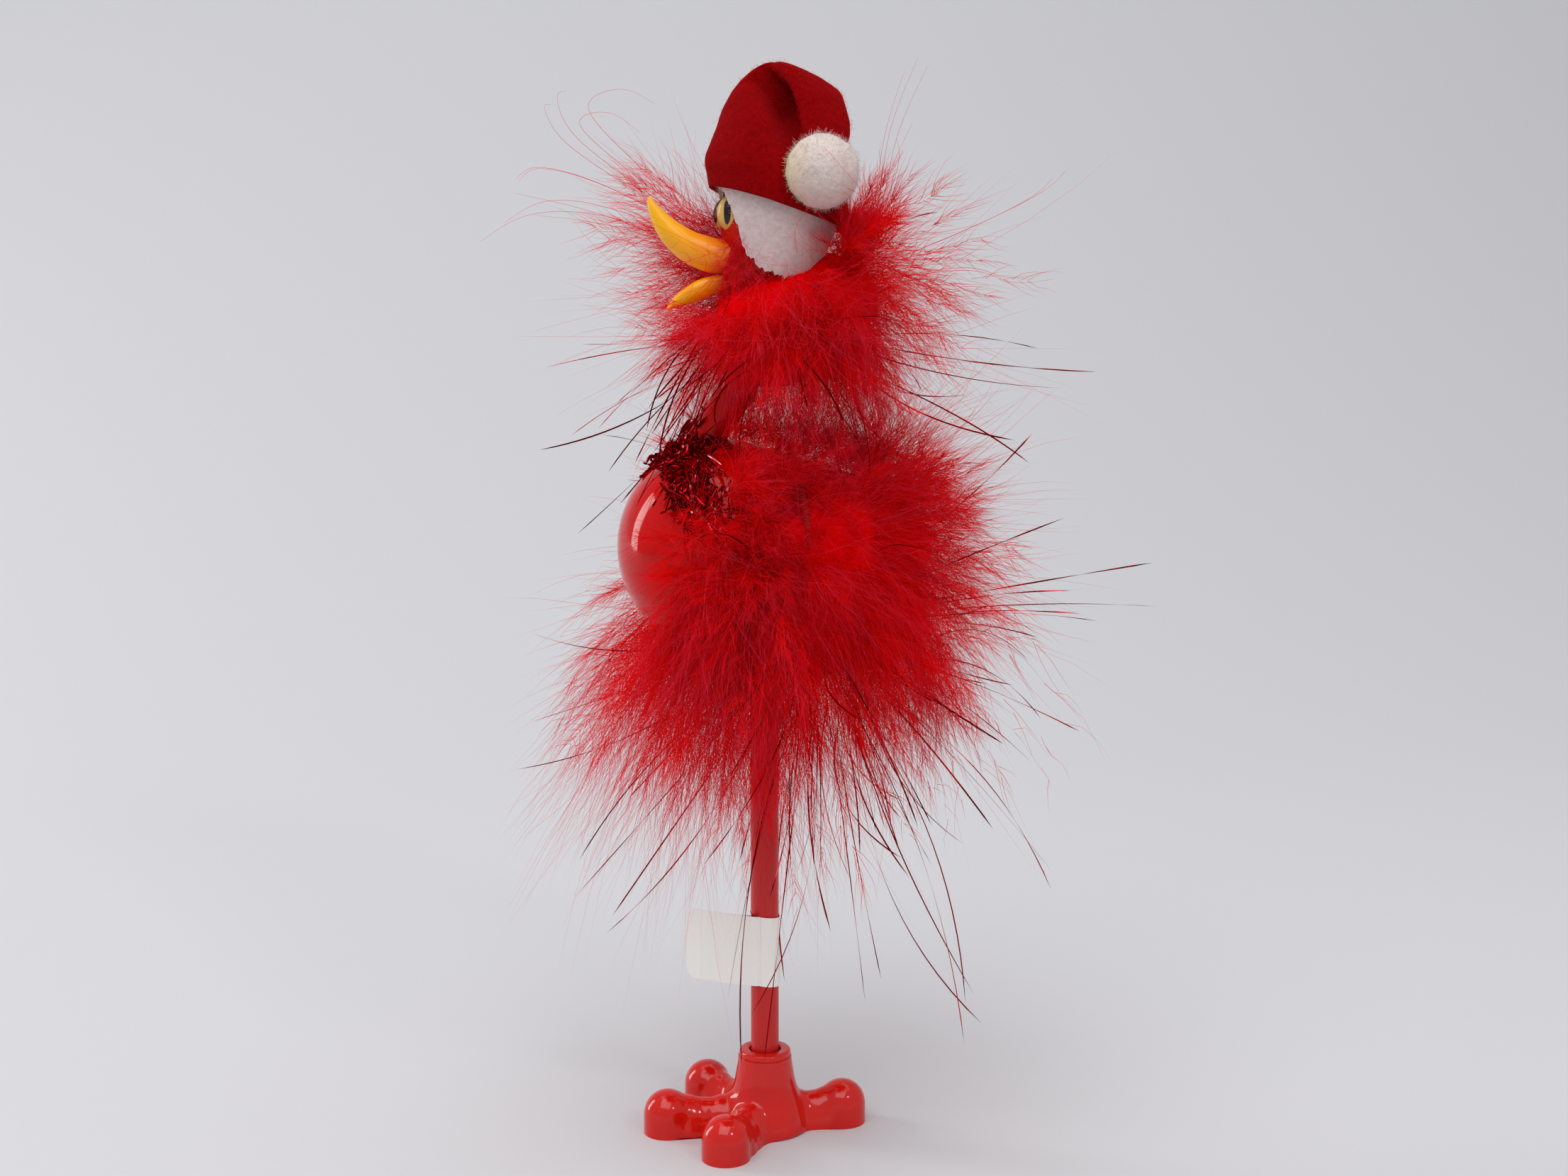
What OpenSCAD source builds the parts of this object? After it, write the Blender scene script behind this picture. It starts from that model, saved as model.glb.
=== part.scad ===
// Novelty ballpoint pen shaped as a feathered bird in a felt party hat.
// The straight red leg is the pen's barrel, and its writing end stands in a bird-foot stand.
// Frame: millimetres, +Z up, the origin on the leg's axis where the foot rests, the bird facing -X.

/* [Foot stand] */
// Distance from the leg's axis to the end ball of the front toe
front_toe_reach = 23; // [20:0.5:28]
// Distance from the leg's axis to the end ball of each side toe
side_toe_reach = 20.6; // [18:0.2:26]
// Distance from the leg's axis to the end ball of the back toe
back_toe_reach = 18.4; // [16:0.2:24]
// Angle between the front toe and each side toe
side_toe_angle = 56; // [48:1:66]
// Diameter of each toe's end ball
toe_ball_d = 10.8; // [9.6:0.1:11.6]
// Height of each toe's end ball
toe_ball_h = 10; // [8.5:0.1:11]
// Height of the collar's rim above the table
collar_h = 19; // [18:0.5:22]
// Outer diameter of the collar at its rim
collar_d = 12; // [11:0.1:13]

/* [Pen] */
// Outer diameter of the barrel, which is the bird's leg
barrel_d = 6.5; // [6.2:0.1:6.7]
// Inner diameter of the barrel
barrel_bore_d = 4.4; // [4:0.1:4.6]
// Length of the ink refill's tube
refill_len = 86; // [60:1:98]
// Outer diameter of the ink refill's tube
refill_d = 3; // [2.8:0.1:3.2]

/* [Bird] */
// Radius of the body's chest end
chest_r = 24; // [22:0.5:25]
// Radius of the body's tail end
tail_r = 11; // [8:0.5:13]
// Wall of the moulded body and head shells
shell_wall = 1.5; // [1.2:0.1:2]
// Radius of the head
head_r = 11.5; // [11:0.1:12]
// Diameter of the neck stem
neck_d = 8; // [6:0.5:9]

/* [Hat] */
// Radius of the hat's opening
hat_r = 15.4; // [15:0.1:16]
// Thickness of the felt
felt_t = 1.2; // [0.8:0.1:1.4]
// Diameter of the pompom
pompom_d = 16.2; // [14:0.2:17]

/* [Trimmings] */
// Radius of the feather trim round the body, from the body's centre line
body_fluff_r = 33; // [30:1:36]
// Outer radius of the feather trim round the neck
neck_fluff_r = 27; // [25:1:29]
// Diameter of one strand of tinsel
tinsel_d = 0.4; // [0.3:0.1:0.6]

/* [Hidden] */
$fn = 64;

fit = 0.02;              // gap between glued or pressed pieces
big = 200;               // larger than any piece, for cutting
seam_turn = 40;          // turns the seam of a round cut away from the halves' plane

// Foot and socket
toe_bar_w = 7.5;
toe_bar_h = 7.2;
hub_waist_r = collar_d / 2 + 1.2;
hub_waist_z = 9;
hub_base_r = 9.6;
hub_fillet_r = 4.2;
rim_round_r = 0.6;
socket_r = barrel_d / 2 + 0.3;
ledge_z = 13;
well_r = 3;
well_floor_z = 2.2;

// Pen
barrel_top_z = 126;
nose_bottom_z = 5.6;
nose_top_r = 2.7;
nose_end_r = 1.35;
spigot_r = barrel_bore_d / 2 - fit;
tip_shoulder_z = 10;
tip_shank_r = 1.1;
ball_r = 0.4;
ball_z = 3.5;
refill_wall = 0.5;
ink_len = 0.72 * refill_len;

// Body: two spheres joined by a cone, lying along a centre line that rises towards the tail
chest_at = [-9.2, 0, 137.5];
body_rise = 6;
body_len = 33.4;
body_cone = asin((chest_r - tail_r) / body_len);
leg_boss_r = 5.2;
leg_boss_top_z = 123;
leg_boss_foot_z = 116.3;   // in the middle of the wall, on the leg's axis
leg_boss_slope = 22;       // of the body's underside there
leg_hole_top_z = 119;      // the hole for the leg in the trim ends inside the hollow body

// Neck and head
neck_points = [[-19.5, 0, 152.5], [-5.8, 0, 172.6], [1, 0, 197]];
head_at = [1.9, 0, 207.8];
cheek_at = [-2.6, 0, 200.4];
cheek_r = 7.8;
eye_at = [-5.9, 3.1, 211.3];
eye_half = [5, 3.5, 4.6];

// Hat: its opening is tilted back on the head
hat_tilt = 13.7;
hat_at = [3.75, 0, 215.4];
band_len = 17;
band_low_r = 11.9;
pompom_at = [10.2, -16.6, 219.6];

// Feather trims
neck_fluff_at = [4, 0, 184];
neck_fluff_half = [11, 12];
chest_bare = -4;         // the body's trim stops this far behind the chest's centre
tail_fluff = 12;         // how far the trim stands out past the tail end
hollow_gap = 0.6;        // between the trim and the body
shoulder_z = 13;         // where the trim's hollow begins to taper
cord_r = 0.8;
neck_base_grow = 2.4;    // how far the wound strands stand out from the neck
neck_base_short = [1.5, 0, 2.2];  // they stop this far below the neck's bend
neck_cord_r = 12.5;
body_cord_z = 16;        // behind the leg, measured from the chest's centre

// Label
label_z = [34.5, 51];
label_t = 0.16;
flag_curl_r = 34;

// A ball of the width r with upright sides, standing on the table
module domed_post(r, h) {
    rotate_extrude()
        intersection() {
            union() {
                translate([0, h - r]) circle(r);
                square([r, h - r]);
            }
            square([r, h]);
        }
}

// A straight rod between two points
module rod(from, to, r) {
    along = to - from;
    translate(from)
        rotate([0, acos(along.z / norm(along)), atan2(along.y, along.x)])
            cylinder(r = r, h = norm(along));
}

// Half of space: side is -1 for the bird's left, where y is negative, and +1 for its right
module half_space(side) {
    translate([-big / 2, side < 0 ? -big : 0, 0]) cube([big, big, 2 * big]);
}

// ---- Foot stand ----

module toe(reach, angle) {
    rotate([0, 0, 180 + angle]) {
        translate([reach, 0, 0]) domed_post(toe_ball_d / 2, toe_ball_h);
        rotate([90, 0, 90])
            linear_extrude(reach) {
                translate([0, toe_bar_h - toe_bar_w / 2]) circle(d = toe_bar_w);
                translate([-toe_bar_w / 2, 0]) square([toe_bar_w, toe_bar_h - toe_bar_w / 2]);
            }
    }
}

module hub() {
    rotate_extrude() {
        polygon([[0, 0], [hub_base_r, 0], [hub_base_r, hub_waist_z - hub_fillet_r],
            [hub_waist_r, hub_waist_z], [collar_d / 2, collar_h - rim_round_r], [0, collar_h - rim_round_r]]);
        translate([collar_d / 2 - rim_round_r, collar_h - rim_round_r]) circle(rim_round_r);
        square([collar_d / 2 - rim_round_r, collar_h]);
    }
}

module foot_stand() {
    color("firebrick")
        difference() {
            union() {
                hub();
                toe(front_toe_reach, 0);
                toe(side_toe_reach, side_toe_angle);
                toe(side_toe_reach, -side_toe_angle);
                toe(back_toe_reach, 180);
            }
            translate([0, 0, ledge_z]) cylinder(r = socket_r, h = collar_h);
            translate([0, 0, well_floor_z]) cylinder(r = well_r, h = collar_h);
        }
}

// ---- Pen ----

module pen_barrel() {
    color("crimson")
        translate([0, 0, ledge_z])
            difference() {
                cylinder(d = barrel_d, h = barrel_top_z - ledge_z);
                translate([0, 0, -1]) cylinder(d = barrel_bore_d, h = barrel_top_z);
            }
}

module nose_cone() {
    color("darkred")
        difference() {
            rotate_extrude()
                polygon([[0, nose_bottom_z], [nose_end_r, nose_bottom_z], [nose_top_r, ledge_z - fit],
                    [spigot_r, ledge_z - fit], [spigot_r, ledge_z + 6], [0, ledge_z + 6]]);
            cylinder(r = tip_shank_r + fit, h = big);
            translate([0, 0, tip_shoulder_z]) cylinder(r = refill_d / 2 + fit, h = big);
        }
}

module refill_tube() {
    color("whitesmoke")
        translate([0, 0, tip_shoulder_z])
            difference() {
                cylinder(d = refill_d, h = refill_len);
                translate([0, 0, -1]) cylinder(r = refill_d / 2 - refill_wall, h = refill_len + 2);
            }
}

module refill_ink() {
    color("navy")
        translate([0, 0, tip_shoulder_z + 4 + fit])
            cylinder(r = refill_d / 2 - refill_wall - fit, h = ink_len);
}

module refill_tip() {
    color("goldenrod")
        difference() {
            rotate_extrude()
                polygon([[0, ball_z], [ball_r + 0.08, ball_z], [tip_shank_r, nose_bottom_z],
                    [tip_shank_r, tip_shoulder_z - fit], [refill_d / 2 - refill_wall - fit, tip_shoulder_z - fit],
                    [refill_d / 2 - refill_wall - fit, tip_shoulder_z + 4], [0, tip_shoulder_z + 4]]);
            translate([0, 0, ball_z + 0.1]) sphere(ball_r + fit);
            cylinder(r = 0.2, h = big);
        }
}

module writing_ball() {
    color("dimgray") translate([0, 0, ball_z + 0.1]) sphere(ball_r);
}

module barrel_plug() {
    color("firebrick")
        translate([0, 0, barrel_top_z]) {
            translate([0, 0, -4]) cylinder(r = spigot_r, h = 4.5);
            translate([0, 0, fit]) cylinder(d = barrel_d, h = 1.5);
        }
}

// ---- Body ----

// Half of the body's outline, made larger all over by grow, with the centre line upright
module egg_outline(grow) {
    intersection() {
        union() {
            circle(chest_r + grow);
            translate([0, body_len]) circle(tail_r + grow);
            polygon([[0, 0], (chest_r + grow) * [cos(body_cone), sin(body_cone)],
                [0, body_len] + (tail_r + grow) * [cos(body_cone), sin(body_cone)], [0, body_len]]);
        }
        translate([0, -big / 2]) square([big, big]);
    }
}

// Puts what stands on the chest's centre along the body's own centre line
module along_body() {
    translate(chest_at) rotate([0, 90 - body_rise, 0]) children();
}

module egg(grow) {
    along_body() rotate_extrude() egg_outline(grow);
}

// The half of the body's wall on the bird's left, where y is negative
module half_body() {
    difference() {
        along_body() rotate([0, 0, 180])
            rotate_extrude(angle = 180)
                difference() {
                    egg_outline(0);
                    egg_outline(-shell_wall);
                }
        rotate([0, 0, seam_turn]) cylinder(r = barrel_d / 2 + fit, h = barrel_top_z);
        rod(neck_points[0], neck_points[1], neck_d / 2 + fit);
    }
    // half of the collar inside the shell that holds the barrel, its foot sloped to meet the wall
    difference() {
        rotate([0, 0, 180])
            rotate_extrude(angle = 180)
                translate([barrel_d / 2 + 2 * fit, 0]) square([leg_boss_r - barrel_d / 2 - 2 * fit, leg_boss_top_z]);
        translate([0, 0, leg_boss_foot_z]) rotate([0, -leg_boss_slope, 0])
            translate([-big / 2, -big / 2, -big]) cube(big);
    }
}

module body_shell_left() {
    color("red") half_body();
}

module body_shell_right() {
    color("red") mirror([0, 1, 0]) half_body();
}

// ---- Neck and head ----

module neck_stem() {
    color("red") {
        rod(neck_points[0], neck_points[1], neck_d / 2);
        translate(neck_points[1]) sphere(neck_d / 2 + 0.4);
        rod(neck_points[1], neck_points[2], neck_d / 2);
    }
}

module head_form(grow) {
    translate(head_at) sphere(head_r + grow);
    translate(cheek_at) sphere(cheek_r + grow);
}

module head_shell(side) {
    color("red")
        difference() {
            intersection() {
                difference() {
                    head_form(0);
                    head_form(-shell_wall);
                }
                half_space(side);
            }
            rod(neck_points[1], neck_points[2], neck_d / 2 + fit);
        }
}

module head_shell_left() head_shell(-1);

module head_shell_right() head_shell(1);

// One domed eye, glued to the front of the head beside the other
module eye(side) {
    color("wheat")
        difference() {
            intersection() {
                translate([eye_at.x, side * eye_at.y, eye_at.z]) scale(eye_half) sphere(1);
                translate([0, side * fit / 2, 0]) half_space(side);
            }
            head_form(fit);
        }
}

module eye_left() eye(-1);

module eye_right() eye(1);

// A row of balls, each hulled to the next: balls holds [x, z, radius] of each
module ball_chain(balls) {
    for (i = [0 : len(balls) - 2])
        hull() {
            for (b = [balls[i], balls[i + 1]])
                translate([b[0], 0, b[1]]) sphere(b[2], $fn = 28);
        }
}

module upper_beak() {
    color("orange")
        difference() {
            ball_chain([[-9, 202.1, 3.9], [-15, 203.2, 3.9], [-19.6, 206.3, 3.4], [-23, 210.2, 2.3], [-25, 214.4, 0.8]]);
            head_form(fit);
        }
}

module lower_beak() {
    color("darkorange")
        difference() {
            ball_chain([[-9.5, 196.6, 1.6], [-15, 195, 2.3], [-18.6, 192.8, 1.8], [-21, 191, 0.7]]);
            head_form(fit);
        }
}

// ---- Hat ----

// The hat's folded cone, made smaller all over by inset: front hem, top fold and back corner
module hat_form(inset) {
    hull() {
        translate(hat_at) rotate([0, hat_tilt, 0]) cylinder(r = hat_r - inset, h = 3, $fn = 40);
        translate([-8.7, 0, 223.2]) sphere(4.2 - inset, $fn = 28);
        translate([-0.8, -1, 242]) sphere(3 - inset, $fn = 28);
        translate([13.4, -4, 233.6]) sphere(3.6 - inset, $fn = 28);
    }
}

module hat_cone() {
    color("darkred")
        difference() {
            union() {
                hat_form(0);
                // the tip hangs down the near side as a flap
                hull() {
                    translate([13.4, -4, 233.6]) sphere(3.6, $fn = 28);
                    translate([3.5, -7, 234]) sphere(2.6, $fn = 28);
                    translate([11, -13.5, 225.5]) sphere(2.4, $fn = 28);
                }
            }
            difference() {
                hat_form(felt_t);
                // the fold above the head is closed cloth
                translate([0, 0, 232]) cylinder(r = big, h = big);
            }
            translate(hat_at) rotate([0, hat_tilt, 0])
                translate([0, 0, -1]) cylinder(r = hat_r - felt_t, h = 2);
            translate(pompom_at) sphere(d = pompom_d + 2 * fit);
            head_form(0.2);
        }
}

// The felt strip round the hat's edge: narrow over the eyes, deep at the sides and nape
module hat_band() {
    color("mistyrose")
        difference() {
            intersection() {
                translate(hat_at) rotate([0, hat_tilt, 0])
                    rotate_extrude()
                        polygon([[hat_r, -fit], [band_low_r, -band_len], [band_low_r - felt_t, -band_len],
                            [hat_r - felt_t, -fit]]);
                translate([0, big / 2, 0]) rotate([90, 0, 0])
                    linear_extrude(big)
                        polygon([[-12, 219], [-10.4, 217.6], [-8.5, 213.8], [-5.9, 208.4], [-3.6, 204.5], [-1, 199.6],
                            [6.4, 196.4], [14, 197], [24, 205], [24, 225], [-12, 225]]);
            }
            translate(pompom_at) sphere(d = pompom_d + 2 * fit);
        }
}

module hat_pompom() {
    color("ivory") translate(pompom_at) sphere(d = pompom_d);
}

// ---- Feather trims and tinsel ----

module neck_boa_cord() {
    color("firebrick")
        translate(neck_fluff_at)
            rotate_extrude() translate([neck_cord_r, 0]) circle(cord_r, $fn = 16);
}

module neck_boa_feathers() {
    neck_run = neck_points[2] - neck_points[1];
    color("red")
        difference() {
            translate(neck_fluff_at)
                rotate_extrude()
                    translate([neck_fluff_r - neck_fluff_half[0], 0]) scale(neck_fluff_half) circle(1);
            head_form(0.4);
            translate([-big - 8.5, -6, 188]) cube([big, 12, 40]);
            rod(neck_points[1] - 0.3 * neck_run, neck_points[2], neck_d / 2 + 1);
        }
}

// The dark foil strands wound round the foot of the neck
module neck_base_tinsel() {
    color("maroon")
        difference() {
            rod(neck_points[0], neck_points[1] - neck_base_short, neck_d / 2 + neck_base_grow);
            rod(neck_points[0] - neck_base_short, neck_points[1], neck_d / 2 + fit);
            egg(fit);
        }
}

module body_boa_cord() {
    color("firebrick")
        along_body()
            translate([0, 0, body_cord_z]) rotate_extrude() translate([chest_r - 2, 0]) circle(cord_r, $fn = 16);
}

// What the body fills inside its trim: a little larger than the body, and with no joins near the leg
module trim_hollow() {
    along_body() {
        sphere(chest_r + hollow_gap);
        translate([0, 0, shoulder_z])
            cylinder(r1 = chest_r - 2.8, r2 = tail_r + hollow_gap, h = body_len + 3 - shoulder_z);
        translate([0, 0, body_len]) sphere(tail_r + hollow_gap / 2);
    }
}

module body_boa_feathers() {
    color("red")
        difference() {
            along_body()
                rotate_extrude()
                    intersection() {
                        union() {
                            translate([0, 8]) circle(body_fluff_r);
                            translate([0, body_len + 6]) circle(tail_r + tail_fluff);
                        }
                        translate([0, chest_bare]) square([big, big]);
                    }
            trim_hollow();
            rotate([0, 0, seam_turn]) cylinder(r = barrel_d / 2 + 0.4, h = leg_hole_top_z);
            rod(neck_points[0], neck_points[1] + 2 * neck_base_short, neck_d / 2 + neck_base_grow + 0.6);
        }
}

// Straight strands that fan out from a point and begin a quarter of the way along
module strands(from, ends) {
    color("maroon")
        for (end = ends)
            rod(from + 0.25 * (end - from), end, tinsel_d / 2);
}

module neck_tinsel() {
    strands(neck_fluff_at, [[-49, -8, 178], [-50, 10, 159], [-43, -12, 142], [-30, 40, 168], [-24, -46, 160],
        [66, -10, 173], [80, 8, 176], [52, -34, 158], [46, 42, 170], [8, -58, 172], [4, 58, 164], [30, 2, 154]]);
}

module body_tinsel() {
    strands([12, 0, 118], [[-57, -10, 90], [-53, 12, 96], [-45, -22, 64], [-36, 14, 44], [-20, -56, 78],
        [17, -34, 41], [32, 20, 27], [46, -8, 20], [55, 10, 18], [61, -26, 66], [71, 22, 111], [92, -4, 122],
        [94, 6, 131], [12, -62, 112], [24, 60, 120], [-14, 54, 84], [44, -50, 100], [40, 48, 80]]);
}

// ---- Label ----

// A paper strip stuck round the leg and to itself, its two layers standing out as a small curled flag
module label_flag() {
    color("white")
        translate([0, 0, label_z[0]])
            linear_extrude(label_z[1] - label_z[0]) {
                difference() {
                    circle(barrel_d / 2 + fit + label_t);
                    circle(barrel_d / 2 + fit);
                }
                intersection() {
                    translate([-10.5, -2.1 + flag_curl_r])
                        difference() {
                            circle(flag_curl_r + 2 * label_t, $fn = 128);
                            circle(flag_curl_r, $fn = 128);
                        }
                    translate([-18.4, -4]) square([18.4 - 3.2, 6]);
                }
            }
}

foot_stand();
pen_barrel();
nose_cone();
refill_tube();
refill_ink();
refill_tip();
writing_ball();
barrel_plug();
body_shell_left();
body_shell_right();
neck_stem();
head_shell_left();
head_shell_right();
eye_left();
eye_right();
upper_beak();
lower_beak();
hat_cone();
hat_band();
hat_pompom();
neck_boa_cord();
neck_boa_feathers();
neck_tinsel();
neck_base_tinsel();
body_boa_cord();
body_boa_feathers();
body_tinsel();
label_flag();
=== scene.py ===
# A novelty ballpoint pen dressed as a feathered bird in a felt party hat, standing in its bird-foot stand.
# Metres, +Z up, the bird facing -X. The sections follow the object as it is put together.
import math

import bmesh
import bpy
import numpy as np
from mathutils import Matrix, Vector


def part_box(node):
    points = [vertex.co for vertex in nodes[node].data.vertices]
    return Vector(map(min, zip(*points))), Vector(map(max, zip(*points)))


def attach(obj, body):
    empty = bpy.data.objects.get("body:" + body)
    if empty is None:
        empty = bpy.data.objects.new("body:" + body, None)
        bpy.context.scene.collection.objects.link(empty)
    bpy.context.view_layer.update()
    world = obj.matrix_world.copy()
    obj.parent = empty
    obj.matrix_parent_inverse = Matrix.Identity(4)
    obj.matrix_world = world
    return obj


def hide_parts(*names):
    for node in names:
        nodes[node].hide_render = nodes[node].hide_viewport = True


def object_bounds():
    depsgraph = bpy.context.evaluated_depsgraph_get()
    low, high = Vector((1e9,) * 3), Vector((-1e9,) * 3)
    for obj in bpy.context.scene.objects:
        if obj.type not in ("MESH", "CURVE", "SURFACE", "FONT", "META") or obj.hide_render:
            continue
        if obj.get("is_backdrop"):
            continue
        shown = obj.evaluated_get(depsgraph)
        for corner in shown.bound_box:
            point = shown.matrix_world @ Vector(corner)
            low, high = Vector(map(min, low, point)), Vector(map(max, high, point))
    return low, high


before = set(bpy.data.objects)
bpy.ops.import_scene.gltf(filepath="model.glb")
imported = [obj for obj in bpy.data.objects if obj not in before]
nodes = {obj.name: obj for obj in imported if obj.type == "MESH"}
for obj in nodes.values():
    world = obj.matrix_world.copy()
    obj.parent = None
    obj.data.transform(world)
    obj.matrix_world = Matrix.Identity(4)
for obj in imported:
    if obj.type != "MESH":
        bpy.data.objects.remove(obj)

cad_box = [list(corner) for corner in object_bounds()]
MM = 0.001


# ---- Room: a pale floor that curves up behind, soft studio light and the camera ----
# The camera stands a little in front of the bird's left side, at the height of its tail, and looks
# slightly down. A large window light on the bird's front side gives the long highlights on the moulded parts.
def linear(hex_colour):
    channels = [int(hex_colour[i:i + 2], 16) / 255 for i in (1, 3, 5)]
    return [c / 12.92 if c <= 0.04045 else ((c + 0.055) / 1.055) ** 2.4 for c in channels] + [1.0]


def add_node(tree, kind, inputs=None, stops=(), feeds=None, **settings):
    """A node with its settings. inputs holds its values and links, stops a ramp's colours, and feeds is the
    socket that its first output goes to."""
    node = tree.nodes.new("ShaderNode" + kind)
    for name, value in settings.items():
        setattr(node, name, value)
    for name, value in (inputs or {}).items():
        if isinstance(value, bpy.types.NodeSocket):
            tree.links.new(value, node.inputs[name])
        else:
            node.inputs[name].default_value = value
    if stops:
        elements = node.color_ramp.elements
        while len(elements) < len(stops):
            elements.new(0.5)
        for element, (position, colour) in zip(elements, stops):
            element.position = position
            element.color = linear(colour)
    if feeds is not None:
        tree.links.new(node.outputs[0], feeds)
    return node


def new_material(name, **inputs):
    """A material, its node tree and its Principled shader, with constants set on the shader."""
    material = bpy.data.materials.new(name)
    material.use_nodes = True
    shader = material.node_tree.nodes["Principled BSDF"]
    for key, value in inputs.items():
        shader.inputs[key.replace("_", " ")].default_value = value
    return material, material.node_tree, shader


def add_grain(tree, shader, scale, detail=2.0, stops=(), depth=0.0, strength=1.0, stretch=None,
              roughness=0.5):
    """An irregular grain that tints a surface through stops, lifts it by a depth in mm, or does both.
    scale is the number of spots to the metre."""
    place = add_node(tree, "TexCoord").outputs["Object"]
    if stretch:
        place = add_node(tree, "Mapping", {"Vector": place, "Scale": stretch}).outputs["Vector"]
    spots = {"Vector": place, "Scale": scale, "Detail": detail, "Roughness": roughness}
    grain = add_node(tree, "TexNoise", spots).outputs["Fac"]
    if stops:
        add_node(tree, "ValToRGB", {"Fac": grain}, stops, shader.inputs["Base Color"])
    if depth:
        relief = {"Height": grain, "Distance": depth * MM, "Strength": strength}
        add_node(tree, "Bump", relief, feeds=shader.inputs["Normal"])


bpy.ops.object.select_all(action="DESELECT")
floor_half = 2.4
sweep_radius = 1.1
sweep_start = 0.35
bpy.ops.mesh.primitive_plane_add(size=2 * floor_half, location=(0, sweep_start - floor_half, 0))
floor = bpy.context.object
floor.name = "pale_floor"
bpy.ops.object.mode_set(mode="EDIT")
bm = bmesh.from_edit_mesh(floor.data)
bpy.ops.mesh.select_all(action="DESELECT")
for edge in bm.edges:
    edge.select = all(v.co.y > floor_half - 0.01 for v in edge.verts)
bm.select_flush_mode()
bpy.ops.mesh.spin(steps=48, angle=math.radians(-90), center=(0, sweep_start, sweep_radius), axis=(1, 0, 0))
bpy.ops.mesh.extrude_region_move(TRANSFORM_OT_translate={"value": (0, 0, 1.6)})
bpy.ops.object.mode_set(mode="OBJECT")
bpy.ops.object.transform_apply()
bpy.ops.object.shade_smooth()
# matt paper: an even pale grey without a highlight, so that the fine red fibres read against it
paper_grey = linear("#C9C9CC")
floor_material, tree, shader = new_material("matt_white_backdrop_paper", Base_Color=paper_grey, Roughness=0.9)
add_grain(tree, shader, 900.0, depth=0.1, strength=0.3)
floor.data.materials.append(floor_material)
floor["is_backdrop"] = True

world = bpy.data.worlds.new("soft_room_light")
bpy.context.scene.world = world
world.use_nodes = True
world.node_tree.nodes["Background"].inputs["Color"].default_value = linear("#F2F2F4")
world.node_tree.nodes["Background"].inputs["Strength"].default_value = 0.56
bpy.context.scene.view_settings.view_transform = "Standard"

for name, place, size, power in (
        ("window_light", (-1.15, 0.62, 0.45), (0.28, 0.9), 6.0),
        ("overhead_light", (-0.3, -0.7, 1.5), (1.4, 1.4), 13.5),
        ("lamp_light", (0.55, -1.0, 0.9), (0.16, 0.16), 1.6),
        ("backdrop_light", (0.1, 0.2, 2.0), (1.8, 1.8), 10.5)):
    lamp = bpy.data.lights.new(name, "AREA")
    lamp.shape = "RECTANGLE"
    lamp.size, lamp.size_y = size
    lamp.energy = power
    holder = bpy.data.objects.new(name, lamp)
    holder.location = place
    aim = Vector((0, 0.5, 0.1) if name == "backdrop_light" else (0, 0, 0.13)) - holder.location
    holder.rotation_euler = aim.to_track_quat("-Z", "Y").to_euler()
    bpy.context.scene.collection.objects.link(holder)

camera_distance = 0.45
camera_height = 0.190
camera_azimuth = math.radians(-8.5)
camera_pitch = math.radians(7.87)
camera_yaw = math.radians(0.57)
camera_data = bpy.data.cameras.new("camera")
camera_data.sensor_width = 36
camera_data.lens = 45.93
camera = bpy.data.objects.new("camera", camera_data)
camera.location = (camera_distance * math.sin(camera_azimuth), -camera_distance * math.cos(camera_azimuth),
                   camera_height)
camera.rotation_euler = (math.radians(90) - camera_pitch, 0, camera_azimuth - camera_yaw)
bpy.context.scene.collection.objects.link(camera)
bpy.context.scene.camera = camera


# ---- Foot stand ----
# One moulding of glossy red ABS: three front toes and a back toe, each ending in a ball, that flow into a
# tapered collar with the pen's socket. It is built from turned and stretched solids blended into one skin.
def select_only(*pieces):
    bpy.ops.object.select_all(action="DESELECT")
    for piece in pieces:
        piece.select_set(True)
    bpy.context.view_layer.objects.active = pieces[0]


def finish_mesh(piece, material, angle=None):
    """Puts a piece's place into its mesh and gives it its shading and its material."""
    select_only(piece)
    bpy.ops.object.transform_apply(location=True, rotation=True, scale=True)
    if angle is None:
        bpy.ops.object.shade_smooth()
    else:
        bpy.ops.object.shade_smooth_by_angle(angle=math.radians(angle))
    piece.data.materials.clear()
    piece.data.materials.append(material)
    return piece


def apply_modifier(piece, kind, **settings):
    select_only(piece)
    modifier = piece.modifiers.new(kind.lower(), kind)
    for key, value in settings.items():
        setattr(modifier, key, value)
    bpy.ops.object.modifier_apply(modifier=modifier.name)


def join(pieces, name):
    select_only(*pieces)
    bpy.ops.object.transform_apply(location=True, rotation=True, scale=True)
    bpy.ops.object.join()
    pieces[0].name = name
    return pieces[0]


collar_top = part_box("foot_stand")[1].z
toe_ball_r = 5.6 * MM
toe_ball_h = 10.2 * MM
solids = []


def add_ball(place, half, heading=0.0):
    bpy.ops.mesh.primitive_uv_sphere_add(segments=40, ring_count=20, radius=1, location=place)
    lump = bpy.context.object
    lump.scale = half
    lump.rotation_euler = (0, 0, heading)
    solids.append(lump)


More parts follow.
